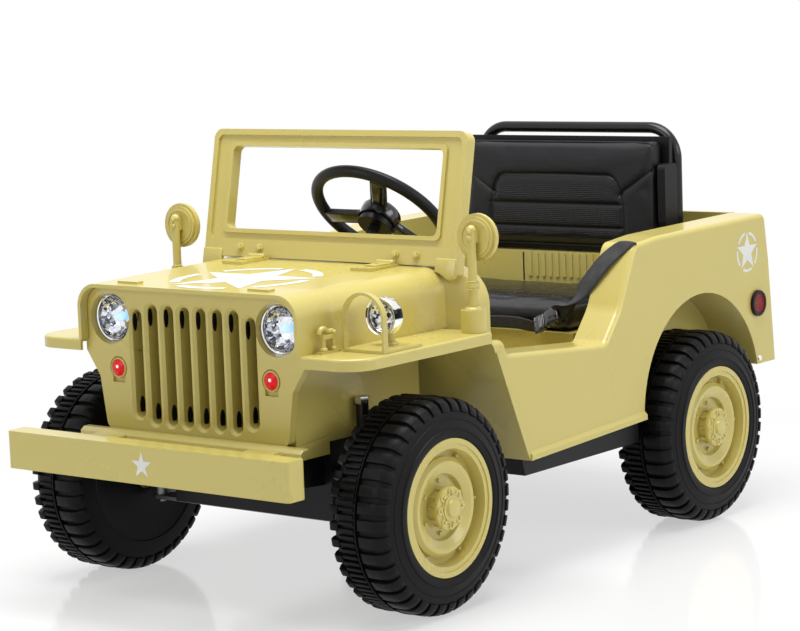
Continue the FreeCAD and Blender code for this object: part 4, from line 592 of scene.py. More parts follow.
# %% The backrest
backrest = stuffed("backrest_pad", "seat_backrest", (0.90, 0.985, 0.985), 0.005, (-0.4925, -0.2145, 0.4565),
                   (-0.4425, 0.2145, 0.6560))
half_panel = [(0.146, 0.455), (0.144, 0.530), (0.138, 0.562), (0.132, 0.577), (0.124, 0.5865), (0.114, 0.5905),
              (0.0, 0.5915)]
panel = half_panel + [(-y, z) for y, z in reversed(half_panel[:-1])]
rolls = [[(-0.144, z), (0.144, z)] for z in (0.496, 0.538)]
sides = [[(0.137 * side, 0.556), (0.215 * side, 0.607)] for side in (1, -1)]
sew(backrest, [panel] + rolls, (1, 2), 0, depth=0.0046, width=0.0027)
sew(backrest, sides, (1, 2), 0, depth=0.0034, width=0.0025)
dress(backrest, leather, "seat_backrest")
backrest.data.materials.append(perforated)


def inside_panel(y, z):
    """Whether a point of the front lies inside the sewn panel."""
    for (wide_low, low), (wide_high, high) in zip(half_panel, half_panel[1:]):
        if low <= z < high:
            return abs(y) < wide_low + (wide_high - wide_low) * (z - low) / (high - low)
    return False


for face in backrest.data.polygons:
    if face.normal.x > 0.3 and inside_panel(face.center.y, face.center.z):
        face.material_index = 1

# %% [markdown]
# A welt of piping runs round the front of the backrest. Its path is dropped onto the swollen pad,
# and a curve with a round bevel makes the tube, because a curve follows such a path by itself.

# %% Piping


def bent_tube(name, points, radius, finish, closed=False):
    """A round tube along a path."""
    curve = bpy.data.curves.new(name, "CURVE")
    curve.dimensions = "3D"
    curve.bevel_depth = radius
    curve.bevel_resolution = 3
    curve.use_fill_caps = True
    line = curve.splines.new("POLY")
    line.points.add(len(points) - 1)
    for place, point in zip(line.points, points):
        place.co = (*point, 1)
    line.use_cyclic_u = closed
    guide = bpy.data.objects.new(name + "_path", curve)
    bpy.context.scene.collection.objects.link(guide)
    mesh = bmesh.new()
    mesh.from_mesh(evaluated_mesh(guide))
    bpy.data.objects.remove(guide)
    piece(name, mesh, finish)


def rounded_rectangle(half_width, low, high, corner, steps=8, gap=0.012):
    """Points round a rectangle with round corners, at even distances along its sides."""
    corners = []
    for turn, (y, z) in enumerate(((half_width - corner, high - corner), (corner - half_width, high - corner),
                                   (corner - half_width, low + corner), (half_width - corner, low + corner))):
        corners.append([(y + corner * math.cos(angle), z + corner * math.sin(angle))
                        for angle in (math.pi / 2 * (turn + step / steps) for step in range(steps + 1))])
    points = []
    for arc, following in zip(corners, corners[1:] + corners[:1]):
        points += arc
        start, end = Vector(arc[-1]), Vector(following[0])
        count = int((end - start).length / gap)
        points += [tuple(start.lerp(end, step / count)) for step in range(1, count)]
    return points


WELT_LIFT = Vector((0.0004, 0, 0))
pad = BVHTree.FromObject(backrest, bpy.context.evaluated_depsgraph_get())
welt = []
for y, z in rounded_rectangle(0.2085, 0.4625, 0.6485, 0.016):
    hit = pad.ray_cast(Vector((0, y, z)), Vector((-1, 0, 0)))[0]
    if hit is not None:
        welt.append(hit + WELT_LIFT)
bent_tube("backrest_piping", welt, 0.0021, leather, closed=True)
print("piping points", len(welt))


# %% [markdown]
# The tyres are blow-moulded, and their tread isn't the same on its two halves: wide blocks that bend
# over one shoulder, narrow ribs and teeth on the other, and a thin moulding line between them.
# The carcass is an outline spun about the axle. One block, one rib and one tooth are cut from a
# drawn profile, given a width and soft edges, and copied round. That is far less work than
# drawing 176 of them, and they all stay alike, as in a mould.

# %% The tyre's measures
FRONT_X, REAR_X, AXLE_Z, TYRE_Y = 0.374, -0.392, 0.165, 0.313
WHEELS = [(end + "_" + side_name, x, side) for end, x in (("front", FRONT_X), ("rear", REAR_X))
          for side_name, side in SIDES]
BLOCKS, RIBS = 40, 96
CARCASS = [
    (0.1053, 0.0490), (0.1053, 0.0515), (0.1070, 0.0540), (0.1110, 0.0550), (0.1172, 0.0548), (0.1180, 0.0560),
    (0.1198, 0.0560), (0.1206, 0.0542), (0.1290, 0.0524), (0.1330, 0.0518), (0.1336, 0.0526), (0.1344, 0.0524),
    (0.1350, 0.0514), (0.1400, 0.0507), (0.1430, 0.0500), (0.1480, 0.0484), (0.1530, 0.0450),
    (0.1570, 0.0405), (0.1588, 0.0350), (0.1592, 0.0), (0.1588, -0.0350), (0.1570, -0.0405),
    (0.1530, -0.0450), (0.1480, -0.0484), (0.1380, -0.0510), (0.1290, -0.0526), (0.1200, -0.0535), (0.1190, -0.0552),
    (0.1165, -0.0552), (0.1155, -0.0536), (0.1000, -0.0520), (0.0600, -0.0520), (0.0420, -0.0545), (0.0300, -0.0550),
    (0.0300, -0.0490), (0.1053, -0.0490), (0.1053, 0.0490)]
MOULD_LINE = [(0.157, 0.0008), (0.1658, 0.0012), (0.1658, 0.0028), (0.157, 0.0032)]
BLOCK_PROFILE = [(0.1570, 0.0050), (0.1645, 0.0056), (0.1652, 0.0180), (0.1650, 0.0310), (0.1632, 0.0390),
                 (0.1585, 0.0455), (0.1520, 0.0500), (0.1455, 0.0518), (0.1445, 0.0490), (0.1530, 0.0420)]
RIB_PROFILE = [(0.1570, -0.0330), (0.1625, -0.0325), (0.1640, -0.0300), (0.1645, -0.0020), (0.1570, -0.0020)]
TOOTH_PROFILE = [(0.1570, -0.0310), (0.1500, -0.0420), (0.1440, -0.0470), (0.1450, -0.0502), (0.1540, -0.0508),
                 (0.1622, -0.0478), (0.1648, -0.0430), (0.1650, -0.0310)]

# %% The tyres


def tread(mesh, profile, width, count, bevel, start=0.0):
    """Lugs of one kind: a profile of (radius, along) given a width across it and copied round the axle."""
    points = prism(mesh, profile, width, bevel)
    bmesh.ops.translate(mesh, verts=points, vec=(0, 0, -width / 2))
    copies_round(mesh, points, count, start=start)


def tyre(name, x, side):
    """One tyre. Its carcass mirrors with the side of the car, and its tread doesn't."""
    mesh = bmesh.new()
    spin_outline(mesh, [(radius, along * side) for radius, along in CARCASS], 112)
    spin_outline(mesh, MOULD_LINE, 112)
    bmesh.ops.remove_doubles(mesh, verts=mesh.verts, dist=SEAM)
    tread(mesh, BLOCK_PROFILE, 0.0168, BLOCKS, 0.0010)
    tread(mesh, RIB_PROFILE, 0.0052, RIBS, 0.0009)
    tread(mesh, TOOTH_PROFILE, 0.0120, BLOCKS, 0.0010, start=math.tau / BLOCKS / 4)
    bmesh.ops.translate(mesh, verts=mesh.verts, vec=(x, TYRE_Y * side, AXLE_Z))
    item = piece("tread_" + name, mesh, rubber, "wheel_" + name, ["tyre_" + name], sharp=40)
    print(item.name, len(item.data.polygons), "faces")


for name, x, side in WHEELS:
    tyre(name, x, side)


# %% [markdown]
# The solid rims already have their stepped lip, deep well and raised ring. What makes them look like
# a pressed wheel are the small forms: nubs in the well, bolts in the dish, panels round the hub
# barrel, and a scalloped cap with its own bolts. They are cast in the same plastic, so one piece
# holds them all, made about the Y axis and copied round.

# %% Wheel details
OUTWARD, BOLT_CIRCLE = (0, 1, 0), 0.0262


def nub(mesh, radius, distance, low, high, bevel, sides=16):
    """A round stud that faces outward, at a distance from the axle."""
    points = rod(mesh, radius, low, high, sides, bevel)
    move(mesh, points, facing((distance, 0, 0), OUTWARD))
    return points


def wheel_details(name, x, side):
    """The nubs, bolts, hub panels and cap of one wheel."""
    mesh = bmesh.new()
    copies_round(mesh, nub(mesh, 0.0028, 0.0825, 0.029, 0.0375, 0.0012), 6)
    copies_round(mesh, nub(mesh, 0.0034, 0.0405, 0.029, 0.0345, 0.0014), 6, start=math.pi / 6)
    panel = prism(mesh, rectangle(-0.0052, 0, 0.0052, 0.0034), 0.0125, 0.0008)
    move(mesh, panel, Matrix.Translation((0.0258, 0.0325, 0)) @ Matrix.Rotation(math.pi / 2, 4, "Z")
         @ facing((0, 0, 0), (1, 0, 0)))
    copies_round(mesh, panel, 10)
    copies_round(mesh, nub(mesh, 0.0066, BOLT_CIRCLE, 0.0450, 0.0552, 0.0012, 20), 8)
    copies_round(mesh, nub(mesh, 0.0026, BOLT_CIRCLE, 0.0550, 0.0575, 0.0005, 6), 8)
    for outline in ([(0.0330, 0.0462), (0.0330, 0.0515), (0.0322, 0.0525), (0.0290, 0.0532)],
                    [(0.0290, 0.0462), (0.0330, 0.0462)],
                    [(0.0232, 0.0528), (0.0230, 0.0546), (0.0222, 0.0552), (0.0204, 0.0552), (0.0196, 0.0546),
                     (0.0194, 0.0528)],
                    [(0.0138, 0.0560), (0.0134, 0.0590), (0.0120, 0.0606), (0.0095, 0.0612), (0.0, 0.0614)]):
        spin_outline(mesh, outline, 64)
    turn = Matrix.Rotation(0 if side > 0 else math.pi, 4, "Z")
    move(mesh, mesh.verts, Matrix.Translation((x, TYRE_Y * side, AXLE_Z)) @ turn)
    piece("hub_" + name, mesh, sand, "wheel_" + name)


for name, x, side in WHEELS:
    wheel_details(name, x, side)
print("hub details on", len(WHEELS), "wheels")


# %% [markdown]
# The white marks are thin prints: a five-pointed star, and a star in a broken ring. A print is a
# very thin layer on a curved panel, so each one is drawn flat, cut finely, and dropped onto the panel
# under it by casting a ray from every point. Cutting it finely first lets it bend with the panel.

# %% Prints


def star_outline(radius, start):
    """The ten corners of a five-pointed star."""
    return [(reach * math.cos(start + step * math.pi / 5), reach * math.sin(start + step * math.pi / 5))
            for step, reach in enumerate([radius, radius * 0.4] * 5)]


def ring_part(mesh, inner, outer, start, end, steps=10):
    """A stretch of a flat ring, as an edge spun about +Z."""
    ends = [mesh.verts.new((reach * math.cos(start), reach * math.sin(start), 0)) for reach in (inner, outer)]
    edge = mesh.edges.new(ends)
    bmesh.ops.spin(mesh, geom=ends + [edge], cent=(0, 0, 0), axis=(0, 0, 1), angle=end - start, steps=steps)


def dropped(mesh, matrix, node, direction, lift=0.0003, grid=0.006):
    """Cuts a flat print finely, puts it in place and drops it onto a solid."""
    bmesh.ops.triangulate(mesh, faces=mesh.faces)
    long_edges = [edge for edge in mesh.edges if edge.calc_length() > grid]
    while long_edges:
        bmesh.ops.subdivide_edges(mesh, edges=long_edges, cuts=1)
        bmesh.ops.triangulate(mesh, faces=mesh.faces)
        long_edges = [edge for edge in mesh.edges if edge.calc_length() > grid]
    move(mesh, mesh.verts, matrix)
    panel = BVHTree.FromObject(nodes[node], bpy.context.evaluated_depsgraph_get())
    for point in mesh.verts:
        hit = panel.ray_cast(point.co, Vector(direction))[0]
        if hit is not None:
            point.co = hit - Vector(direction) * lift


def emblem(name, matrix, radius, start, node, direction, ringed=True):
    """A star, alone or in a ring that is broken at its points, printed on a panel."""
    mesh = bmesh.new()
    mesh.faces.new([mesh.verts.new((x, y, 0)) for x, y in star_outline(radius, start)])
    if ringed:
        for point in range(5):
            middle = start + (point + 0.5) * math.tau / 5
            ring_part(mesh, radius * 0.86, radius * 0.995, middle - math.radians(25), middle + math.radians(25))
    dropped(mesh, matrix, node, direction)
    item = piece(name, mesh, print_white, clean=False)
    print(name, len(item.data.polygons), "faces")


emblem("hood_star", Matrix.Translation((0.410, 0.010, 0.60)), 0.120, math.pi, "hood", (0, 0, -1))
emblem("bumper_star", facing((0.70, 0.0, 0.2445), (1, 0, 0)), 0.021, math.pi / 2, "bumper", (-1, 0, 0), ringed=False)
for name, side in SIDES:
    emblem("side_star_" + name, facing((-0.553, 0.40 * side, 0.451), (0, side, 0)), 0.036, math.pi / 2,
           "body_side_" + name, (0, -side, 0))


# %% [markdown]
# A headlamp is a bright bowl with many small facets behind a clear cover, and a lit module in its
# middle. The facets matter more than the bowl: each one mirrors a different part of the room. So the
# bowl is spun with few steps and stays flat-shaded, with every second ring turned by half a step.

# %% Headlamps
FORWARD = (1, 0, 0)


def faceted_bowl(mesh, radius, depth, rings=7, steps=22):
    """A reflector of flat facets, open towards +Z, its rim at the origin's height."""
    outline = [(radius * ring / rings, depth * ((ring / rings) ** 2 - 1)) for ring in range(1, rings + 1)]
    points = [mesh.verts.new((reach, 0, along)) for reach, along in outline]
    edges = [mesh.edges.new(pair) for pair in zip(points, points[1:])]
    bmesh.ops.spin(mesh, geom=points + edges, cent=(0, 0, 0), axis=(0, 0, 1), angle=math.tau, steps=steps,
                   use_merge=True)
    half_step = Matrix.Rotation(math.pi / steps, 3, "Z")
    for ring in range(0, rings - 1, 2):
        reach = outline[ring][0]
        chosen = [point for point in mesh.verts if abs(point.co.xy.length - reach) < radius / rings / 4]
        bmesh.ops.rotate(mesh, verts=chosen, cent=(0, 0, 0), matrix=half_step)
    bmesh.ops.triangulate(mesh, faces=mesh.faces)


def lamp_inside(name, place, radius, depth, light_radius):
    """A reflector and its lit middle, facing forward."""
    onto = facing(place, FORWARD)
    bowl = bmesh.new()
    faceted_bowl(bowl, radius, depth)
    move(bowl, bowl.verts, onto)
    piece(name + "_reflector", bowl, painted_reflection_facets, sharp=5)
    light = bmesh.new()
    ball(light, light_radius, (0, 0, -depth * 0.62), 0.7)
    move(light, light.verts, onto)
    piece(name + "_light", light, lit)


lens_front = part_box("headlamp_lenses")[1][0]
headlamps = {name: (lens_front - 0.008, 0.172 * side, 0.442) for name, side in SIDES}
for name, place in headlamps.items():
    lamp_inside("headlamp_" + name, place, 0.0345, 0.019, 0.0068)
print("headlamp lenses end at", round(lens_front, 4))

# %% [markdown]
# A thin bright ring holds the cover of a headlamp. It is an outline spun about the lamp's axis, which
# gives its rounded lip with a few points.

# %% Lamp rings


def ring_piece(name, place, direction, outline, finish):
    """A ring from an outline of (radius, along), spun about an axis that points one way."""
    mesh = bmesh.new()
    spin_outline(mesh, outline + outline[:1], 64)
    move(mesh, mesh.verts, facing(place, direction) @ ON_ITS_SIDE)
    piece(name, mesh, finish)


for name, place in headlamps.items():
    ring_piece("headlamp_ring_" + name, place, FORWARD,
               [(0.0352, -0.004), (0.0352, 0.002), (0.0366, 0.0032), (0.0382, 0.002), (0.0386, -0.004)],
               chrome)

# %% [markdown]
# The red markers sit in round recesses with a small drain notch under them. They glow, so their
# domes get a finish with a little light of its own. A small pale ball on each dome is a painted highlight.

# %% Markers
MARKER_Y, MARKER_Z = 0.158, 0.365
marker_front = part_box("marker_lamps")[1][0]
nodes["marker_lamps"].data.materials[0] = red_glow
for name, side in SIDES:
    ring_piece("marker_ring_" + name, (marker_front - 0.004, MARKER_Y * side, MARKER_Z), FORWARD,
               [(0.0132, -0.003), (0.0134, 0.0012), (0.0144, 0.0022), (0.0158, 0.0014), (0.0164, -0.003)],
               sand)
    # Painted highlight: a small glowing ball just in front of the dome, above its middle.
    glint = bmesh.new()
    ball(glint, 0.0030, (marker_front - 0.0012, MARKER_Y * side, MARKER_Z + 0.002), steps=16, rings=8)
    piece("marker_painted_glint_" + name, glint, painted_highlight_glow)
print("markers end at", round(marker_front, 4))

# %% [markdown]
# The reflectors at the rear are red prisms in a black ring, which is why they look like a small grid.

# %% Side reflectors
for name, side in SIDES:
    ring_piece("reflector_ring_" + name, (-0.584, 0.3395 * side, 0.356), (0, side, 0),
               [(0.0170, -0.003), (0.0172, 0.0012), (0.0180, 0.0022), (0.0222, 0.0022), (0.0232, 0.0010),
                (0.0234, -0.003)],
               black)

# %% [markdown]
# The seat belt comes out of a slot in the top of the left pillar, lies on the pillar's slope, twists
# once and ends in a side-release buckle on the front of the cushion. A second strap runs from the
# buckle along the cushion. Webbing keeps its width however it twists, so each strap is a long grid
# whose rows are laid on a smooth path, every row with its own direction across.

# %% Straps


def smooth_path(points, steps=10):
    """A Catmull-Rom path through the points."""
    ends = [points[0] * 2 - points[1]] + points + [points[-1] * 2 - points[-2]]
    path = []
    for before, start, end, after in zip(ends, ends[1:], ends[2:], ends[3:]):
        for step in range(steps):
            t = step / steps
            path.append(0.5 * (2 * start + (end - before) * t + (2 * before - 5 * start + 4 * end - after) * t ** 2
                               + (3 * start - before - 3 * end + after) * t ** 3))
    return path + [points[-1]]


THICKNESS, ACROSS_STEPS, WEAVE_SIZE = 0.0016, 6, 4


def strap(name, stations, width, cup=0.0):
    """Webbing along stations of a place in millimetres and a direction across."""
    places = smooth_path([Vector(place) / 1000 for place, across in stations])
    directions = [way.normalized() for way in smooth_path([Vector(across) for place, across in stations])]
    mesh = bmesh.new()
    mesh.loops.layers.uv.verify()
    bmesh.ops.create_grid(mesh, x_segments=len(places) - 1, y_segments=ACROSS_STEPS, size=0.5, calc_uvs=True)
    layer = mesh.loops.layers.uv.verify()
    total = sum((end - start).length for start, end in zip(places, places[1:]))
    for face in mesh.faces:
        for loop in face.loops:
            loop[layer].uv = ((loop.vert.co.x + 0.5) * total * WEAVE_SIZE, loop.vert.co.y * width * WEAVE_SIZE)
    for point in mesh.verts:
        row = round((point.co.x + 0.5) * (len(places) - 1))
        side = point.co.y
        along = places[min(row + 1, len(places) - 1)] - places[max(row - 1, 0)]
        bulge = along.cross(directions[row]).normalized() * cup * (0.25 - side ** 2)
        point.co = places[row] + directions[row] * side * width + bulge
    item = piece(name, mesh, webbing, clean=False)
    wall = item.modifiers.new("thickness", "SOLIDIFY")
    wall.thickness = THICKNESS
    wall.offset = 0
    print(name, round(total, 3), "m long")


strap("belt_upper", [
    ((-204.0, 315.0, 494.0), (0.0, 1.0, 0.0)), ((-200.5, 316.5, 503.0), (0.05, 1.0, -0.02)),
    ((-193.0, 314.5, 501.2), (0.10, 0.98, -0.12)), ((-186.0, 303.0, 490.5), (0.2, 0.9, -0.34)),
    ((-175.0, 288.5, 475.0), (0.22, 0.86, -0.42)), ((-166.0, 276.5, 458.0), (0.22, 0.84, -0.46)),
    ((-158.5, 265.0, 440.5), (0.22, 0.82, -0.50)), ((-154.0, 253.5, 425.5), (0.30, 0.66, -0.58)),
    ((-152.5, 244.0, 415.0), (0.62, 0.40, -0.50)), ((-150.5, 235.5, 406.5), (0.86, 0.10, -0.30)),
    ((-147.5, 228.0, 398.6), (0.90, -0.20, 0.10)), ((-145.0, 216.0, 390.5), (0.62, -0.35, 0.66)),
    ((-144.5, 206.0, 384.5), (0.42, -0.42, 0.80))], width=0.031, cup=0.006)
strap("belt_lower", [
    ((-144.5, 166.0, 362.5), (0.42, -0.42, 0.80)), ((-148.0, 157.0, 360.0), (0.30, -0.30, 0.90)),
    ((-151.5, 142.0, 361.0), (0.12, -0.10, 0.98)), ((-153.2, 120.0, 363.5), (0.02, 0.0, 1.0)),
    ((-153.6, 90.0, 364.0), (0.0, 0.0, 1.0)), ((-153.6, 50.0, 362.5), (0.0, 0.02, 1.0)),
    ((-153.6, 15.0, 361.0), (0.0, 0.05, 1.0)), ((-154.0, -20.0, 360.0), (0.02, 0.08, 1.0))], width=0.021)

# %% [markdown]
# The slot that the belt comes out of is a black rounded insert in the pillar's top. Each half of the
# buckle is a flat outline with a thickness and soft edges: a shell that is open at its sides, and a
# plug with two prongs that show there, a ladder bar for the strap and ribs for the thumb.

# %% The slot and the buckle
rounded = [(0.0165, 0.0), (0.0150, 0.0026), (-0.0150, 0.0026), (-0.0165, 0.0), (-0.0150, -0.0026), (0.0150, -0.0026)]
flat_piece("belt_slot", rounded, 0.0012, 0.0004, facing((-0.2005, 0.3155, 0.5004), (0.12, 0, 0.99)), black)

buckle = bmesh.new()
SHELL = [(-0.0005, -0.0135), (0.0060, -0.0150), (0.0120, -0.0128), (0.0210, -0.0128), (0.0262, -0.0145),
         (0.0300, -0.0125), (0.0300, 0.0125), (0.0262, 0.0145), (0.0210, 0.0128), (0.0120, 0.0128), (0.0060, 0.0150),
         (-0.0005, 0.0135)]
PLUG = [(-0.0025, -0.0138), (-0.0025, 0.0138), (-0.0120, 0.0150), (-0.0200, 0.0150), (-0.0225, 0.0125),
        (-0.0225, -0.0125), (-0.0200, -0.0150), (-0.0120, -0.0150)]
for outline, depth in ((SHELL, 0.0105), (PLUG, 0.0085)):
    part = prism(buckle, outline, depth, 0.0022, 3)
    move(buckle, part, Matrix.Translation((0, 0, -depth / 2)))
for side in (1, -1):
    prong = rod(buckle, 0.0030, -0.0030, 0.0030, 16, 0.0010)
    move(buckle, prong, Matrix.Translation((0.0165, 0.0130 * side, 0)) @ Matrix.Scale(2.2, 4, (1, 0, 0)))
for along in (-0.0065, -0.0095, -0.0125):
    rib = prism(buckle, rectangle(-0.0007, -0.0105, 0.0007, 0.0105), 0.0012, 0.0004, 1)
    move(buckle, rib, Matrix.Translation((along, 0, 0.0040)))
ladder = rod(buckle, 0.0024, -0.0150, 0.0150, 16, 0.0008)
move(buckle, ladder, Matrix.Translation((-0.0235, 0, 0.0015)) @ ON_ITS_SIDE)
hanging = Vector((0.0, 0.885, 0.466)).normalized()
outwards = Vector((0.86, -0.15, 0.42))
outwards = (outwards - hanging * outwards.dot(hanging)).normalized()
onto = turned(hanging, outwards.cross(hanging), outwards)
move(buckle, buckle.verts, Matrix.Translation((-0.1425, 0.186, 0.3725)) @ onto)
piece("belt_buckle", buckle, gloss_black)
print("buckle at the cushion's front edge")

# %% [markdown]
# A spot lamp stands on the left fender. Its bowl has a bright band round it with a painted reflection
# of a dark edge of the room in it, and a faceted reflector with painted reflections behind its clear
# lens. Its stem is sand like the base.

# %% The spot lamp
spot_bowl = bmesh.new()
faceted_bowl(spot_bowl, 0.0240, 0.0125, rings=6, steps=18)
move(spot_bowl, spot_bowl.verts, facing((SPOT[0] + 0.0082, SPOT[1], SPOT[2]), FORWARD))
piece("spot_reflector", spot_bowl, painted_reflection_facets, sharp=5)
# The band carries the painted reflection of a dark edge of the room.
ring_piece("spot_band", SPOT, FORWARD,
           [(0.0266, 0.0165), (0.0268, 0.0178), (0.0280, 0.0182), (0.0287, 0.0172), (0.0287, 0.0010), (0.0280, -0.0006),
            (0.0262, -0.0012)], chrome_painted_band)
stem = bmesh.new()
post = rod(stem, 0.0058, 0.4125, 0.4345, 20, 0.0010)
foot = rod(stem, 0.0120, 0.4122, 0.4160, 24, 0.0012, top=0.0100)
move(stem, post + foot, Matrix.Translation((0.4065, SPOT[1], 0)))
piece("spot_stem", stem, sand)

# %% [markdown]
# The bars of the grille are cut away behind at both ends of each slot, and the shaded inside shows
# there as small rounded patches on the slot's side. Each is painted shade: a thin black oval lying on that side.

# %% Painted shade in the openings behind the grille


def oval(mesh, along, up, depth):
    """A thin oval plate with a soft edge, facing +Z. Returns its points."""
    outline = [(along * math.cos(step * math.tau / 24), up * math.sin(step * math.tau / 24)) for step in range(24)]
    return prism(mesh, outline, depth, depth * 0.4, 1)


SLOTS, SLOT_PITCH, FIRST_WALL_Y, SHORTER = 8, 0.0336, -0.1278, 0.009
painted_shade_ovals = bmesh.new()
for slot_number in range(SLOTS):
    wall_y = FIRST_WALL_Y + SLOT_PITCH * slot_number
    outer = SHORTER if slot_number in (0, SLOTS - 1) else 0
    for x, z, along in ((0.5205, 0.4470 - outer, 0.0052), (0.5120, 0.2960 + outer, 0.0058)):
        # Painted shade: a thin black oval where the slot opens into the dark inside.
        patch = oval(painted_shade_ovals, along, 0.0150, 0.0010)
        move(painted_shade_ovals, patch, Matrix.Translation((x, wall_y, z)) @ ON_ITS_SIDE.inverted())
piece("grille_painted_shade", painted_shade_ovals, black)
print(2 * SLOTS, "openings in the grille")

# %% [markdown]
# The outermost slot on the right is open towards its headlamp behind, so a thin sand liner closes it.

# %% The slot liner
flat_piece("slot_liner", rectangle(0.5045, 0.392, 0.5270, 0.458), 0.0006, 0.0002,
           Matrix.Translation((0, -0.1270, 0)) @ ON_ITS_SIDE, sand)

# %% [markdown]
# A sand apron closes the nose under the grille, so that no black frame shows above the bumper.

# %% The apron
APRON_WIDTH = 0.456
APRON = [(0.5325, 0.2700), (0.5440, 0.2695), (0.5515, 0.2640), (0.5515, 0.2160), (0.5492, 0.2160), (0.5492, 0.2625),
         (0.5430, 0.2668), (0.5325, 0.2668)]
flat_piece("nose_apron", APRON, APRON_WIDTH, 0.0008, Matrix.Translation((0, APRON_WIDTH / 2, 0)) @ ON_ITS_SIDE, sand,
           segments=2)

# %% [markdown]
# The windscreen frame stands on the shoulders of the cowl with a rounded foot at each end.

# %% Windscreen feet
WINDSCREEN_LEAN = math.radians(11.4)
FOOT = [(0.224, 0.016), (0.2655, 0.016), (0.2655, -0.010), (0.262, -0.016), (0.255, -0.0185), (0.247, -0.0160),
        (0.236, -0.0090), (0.224, -0.0050)]
feet = bmesh.new()
leaned = Matrix.Translation((0.2030, 0, 0.5000)) @ Matrix.Rotation(-WINDSCREEN_LEAN, 4, "Y")
for name, side in SIDES:
    foot = prism(feet, FOOT, 0.0080, 0.0022, 3)
    move(feet, foot, leaned @ turned((0, side, 0), (0, 0, 1), (1, 0, 0)))
piece("windscreen_feet", feet, sand)

# %% [markdown]
# Every hinge pad of the hood carries a raised leaf with a rolled knuckle and a screw, as a real
# hinge does. The leaf is a flat outline, and the knuckle a short rod lying across it.

# %% Hood hinges
HINGE_X, HINGE_Y, HOOD_TOP = 0.220, 0.135, 0.5056
hinges = bmesh.new()
for name, side in SIDES:
    leaf = prism(hinges, [(0, -0.0150), (0.0400, -0.0110), (0.0400, 0.0110), (0, 0.0150)], 0.0030, 0.0010)
    move(hinges, leaf, Matrix.Translation((HINGE_X, HINGE_Y * side, HOOD_TOP)))
    knuckle = rod(hinges, 0.0042, -0.0170, 0.0170, 20, 0.0010)
    move(hinges, knuckle, Matrix.Translation((HINGE_X, HINGE_Y * side, HOOD_TOP + 0.0029)) @ ON_ITS_SIDE)
    for x, height in ((0.0220, 0.0046), (0.0500, 0.0016)):
        head = rod(hinges, 0.0034, 0, height, 16, 0.0008)
        move(hinges, head, Matrix.Translation((HINGE_X + x, HINGE_Y * side, HOOD_TOP + 0.0001)))
piece("hood_hinges", hinges, sand)

# %% [markdown]
# Small fixings say that the car is put together with screws. They are plain short prisms and domes
# with softened edges, all made by one helper that stands them on a surface.

# %% Bolts, nuts and screws


SUNK = 0.0008


def standing(mesh, place, direction, radius, height, sides, bevel, spin=0.0):
    """A bolt head, nut or boss that stands on a surface at a place, sunk a little into it."""
    move(mesh, rod(mesh, radius, -SUNK, height, sides, bevel), facing(place, direction, spin))


bolts = bmesh.new()
lean = (0.98, 0, 0.198)
for y in (0.143, 0.185, -0.143, -0.185):
    standing(bolts, (0.2040, y, 0.5195), lean, 0.0072, 0.0022, 20, 0.0006)
    standing(bolts, (0.2058, y, 0.5198), lean, 0.0058, 0.0052, 6, 0.0010, spin=0.3)
piece("windscreen_bolts", bolts, sand)

nuts = bmesh.new()
screws = bmesh.new()
for name, side in SIDES:
    standing(nuts, (FRONT_X, 0.203 * side, 0.3120), (0, 0, 1), 0.0122, 0.0112, 6, 0.0014)
    wall = BVHTree.FromObject(nodes["body_side_" + name], bpy.context.evaluated_depsgraph_get())
    hit = wall.ray_cast(Vector((-0.590, 0.5 * side, 0.256)), Vector((0, -side, 0)))
    standing(screws, hit[0], hit[1], 0.0052, 0.0022, 20, 0.0014)
piece("strut_nuts", nuts, zinc)
piece("body_screws", screws, chrome)

# %% [markdown]
# Hood latches are a hook over two posts. The hook is a bent tube, and each post ends in a ball.

# %% Latches
LATCH_Y = 0.2395
HOOK = [(0.4810, 0.4330), (0.4800, 0.4365), (0.4835, 0.4400), (0.4890, 0.4395), (0.4940, 0.4405), (0.5000, 0.4445),
        (0.5060, 0.4450), (0.5105, 0.4415), (0.5115, 0.4370)]
for name, side in SIDES:
    hook = [Vector((x, LATCH_Y * side, z)) for x, z in HOOK]
    bent_tube("latch_hook_" + name, smooth_path(hook, 4), 0.0036, sand)
    knobs = bmesh.new()
    for x, z, radius in ((0.481, 0.4375, 0.0056), (0.503, 0.4130, 0.0065), (0.481, 0.4130, 0.0060)):
        ball(knobs, radius, (x, LATCH_Y * side, z), 0.8)
    piece("latch_knobs_" + name, knobs, sand)

# %% [markdown]
# A mirror is a stepped disc on a post. Its glass faces the rider. A knob clamps it, and the post
# steps down through collars.

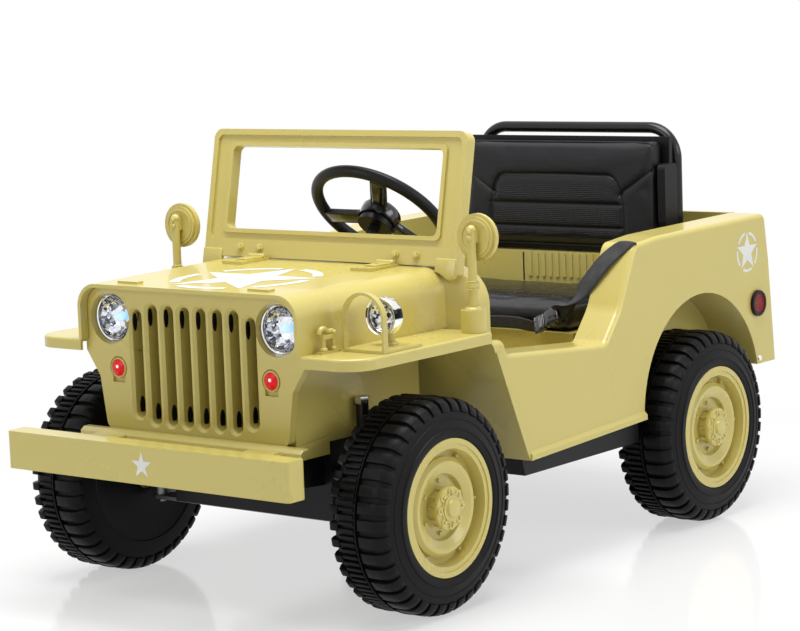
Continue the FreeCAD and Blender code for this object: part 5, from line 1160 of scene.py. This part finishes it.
# %% Mirrors
MIRROR_Z, POST_X, POST_SURFACE = 0.553, 0.226, 0.0065
for name, side in SIDES:
    low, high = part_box("mirror_" + name)
    glass_x, middle_y = low[0], (low[1] + high[1]) / 2
    ring_piece("mirror_glass_" + name, (glass_x + 0.0004, middle_y, MIRROR_Z), (-1, 0, 0),
               [(0.0, 0.0), (0.0, 0.0012), (0.0300, 0.0008), (0.0305, 0.0)], chrome)
    ring_piece("mirror_bezel_" + name, (glass_x, middle_y, MIRROR_Z), (-1, 0, 0),
               [(0.0305, -0.001), (0.0308, 0.0020), (0.0320, 0.0032), (0.0352, 0.0030), (0.0364, 0.0014),
                (0.0366, -0.001)],
               sand)
    ring_piece("mirror_step_" + name, (glass_x + 0.0112, middle_y, MIRROR_Z), FORWARD,
               [(0.0235, -0.001), (0.0240, 0.0010), (0.0258, 0.0014), (0.0276, 0.0010), (0.0280, -0.001)],
               sand)
    fixing = bmesh.new()
    for low_z, high_z, radius, top in ((0.4430, 0.4475, 0.0150, 0.0110), (0.4745, 0.4775, 0.0108, 0.0085),
                                       (0.4855, 0.4880, 0.0085, 0.0074)):
        part = rod(fixing, radius, low_z, high_z, 28, 0.0008, top=top)
        move(fixing, part, Matrix.Translation((POST_X, middle_y, 0)))
    ball(fixing, 0.0078, (POST_X, middle_y, 0.5655), steps=24)
    for z, radius, height, bevel in ((MIRROR_Z, 0.0048, 0.0030, 0.0012), (MIRROR_Z + 0.010, 0.0040, 0.0022, 0.0010)):
        standing(fixing, (POST_X + POST_SURFACE, middle_y, z), FORWARD, radius, height, 20, bevel)
    piece("mirror_fixing_" + name, fixing, sand)

# %% [markdown]
# The steering wheel has a domed hub and three broad spokes, a little narrower in their middle. They
# are drawn flat about the column and tilted with it. One spoke carries three small glossy plates.

# %% The steering wheel
WHEEL_MIDDLE, TRIM_SPOKE = (0.060, 0, 0.5645), 150
tilt = Matrix.Translation(WHEEL_MIDDLE) @ turned((0.72537, 0, 0.68835), (0, 1, 0), (-0.68835, 0, 0.72537))
hub = bmesh.new()
spin_outline(hub, [(0.0330, -0.0150), (0.0345, -0.0060), (0.0345, 0.0050), (0.0325, 0.0085), (0.0300, 0.0092),
                   (0.0285, 0.0120), (0.0225, 0.0158), (0.0120, 0.0180), (0.0, 0.0186)], 64)
move(hub, hub.verts, ON_ITS_SIDE)
for degrees in (-90, 30, TRIM_SPOKE):
    spoke = prism(hub, [(0.0200, -0.0150), (0.0560, -0.0115), (0.1080, -0.0135), (0.1080, 0.0135), (0.0560, 0.0115),
                        (0.0200, 0.0150)], 0.0125, 0.0040, 3)
    move(hub, spoke, Matrix.Rotation(math.radians(degrees), 4, "Z") @ Matrix.Translation((0, 0, -0.0100)))
move(hub, hub.verts, tilt)
piece("steering_hub", hub, gloss_black, "steering_wheel")
trim = bmesh.new()
for low, high in ((0.040, 0.058), (0.060, 0.078), (0.080, 0.094)):
    plate = prism(trim, rectangle(low, -0.0068, high, 0.0068), 0.0014, 0.0005, 1)
    move(trim, plate, Matrix.Rotation(math.radians(TRIM_SPOKE), 4, "Z") @ Matrix.Translation((0, 0, 0.0022)))
move(trim, trim.verts, tilt)
piece("steering_trim", trim, gloss_black, "steering_wheel")

# %% [markdown]
# A dark slot divides the bulkhead beside its ribs. It's a thin black strip on the panel.

# %% The bulkhead slot
on_panel = Matrix.Translation((-0.4364, -0.067, 0.3965)) @ turned((0, 1, 0), (0, 0, 1), (1, 0, 0))
flat_piece("bulkhead_slot", rectangle(-0.0014, 0.0, 0.0014, 0.0520), 0.0012, 0.0004, on_panel, black)
print("fittings done")
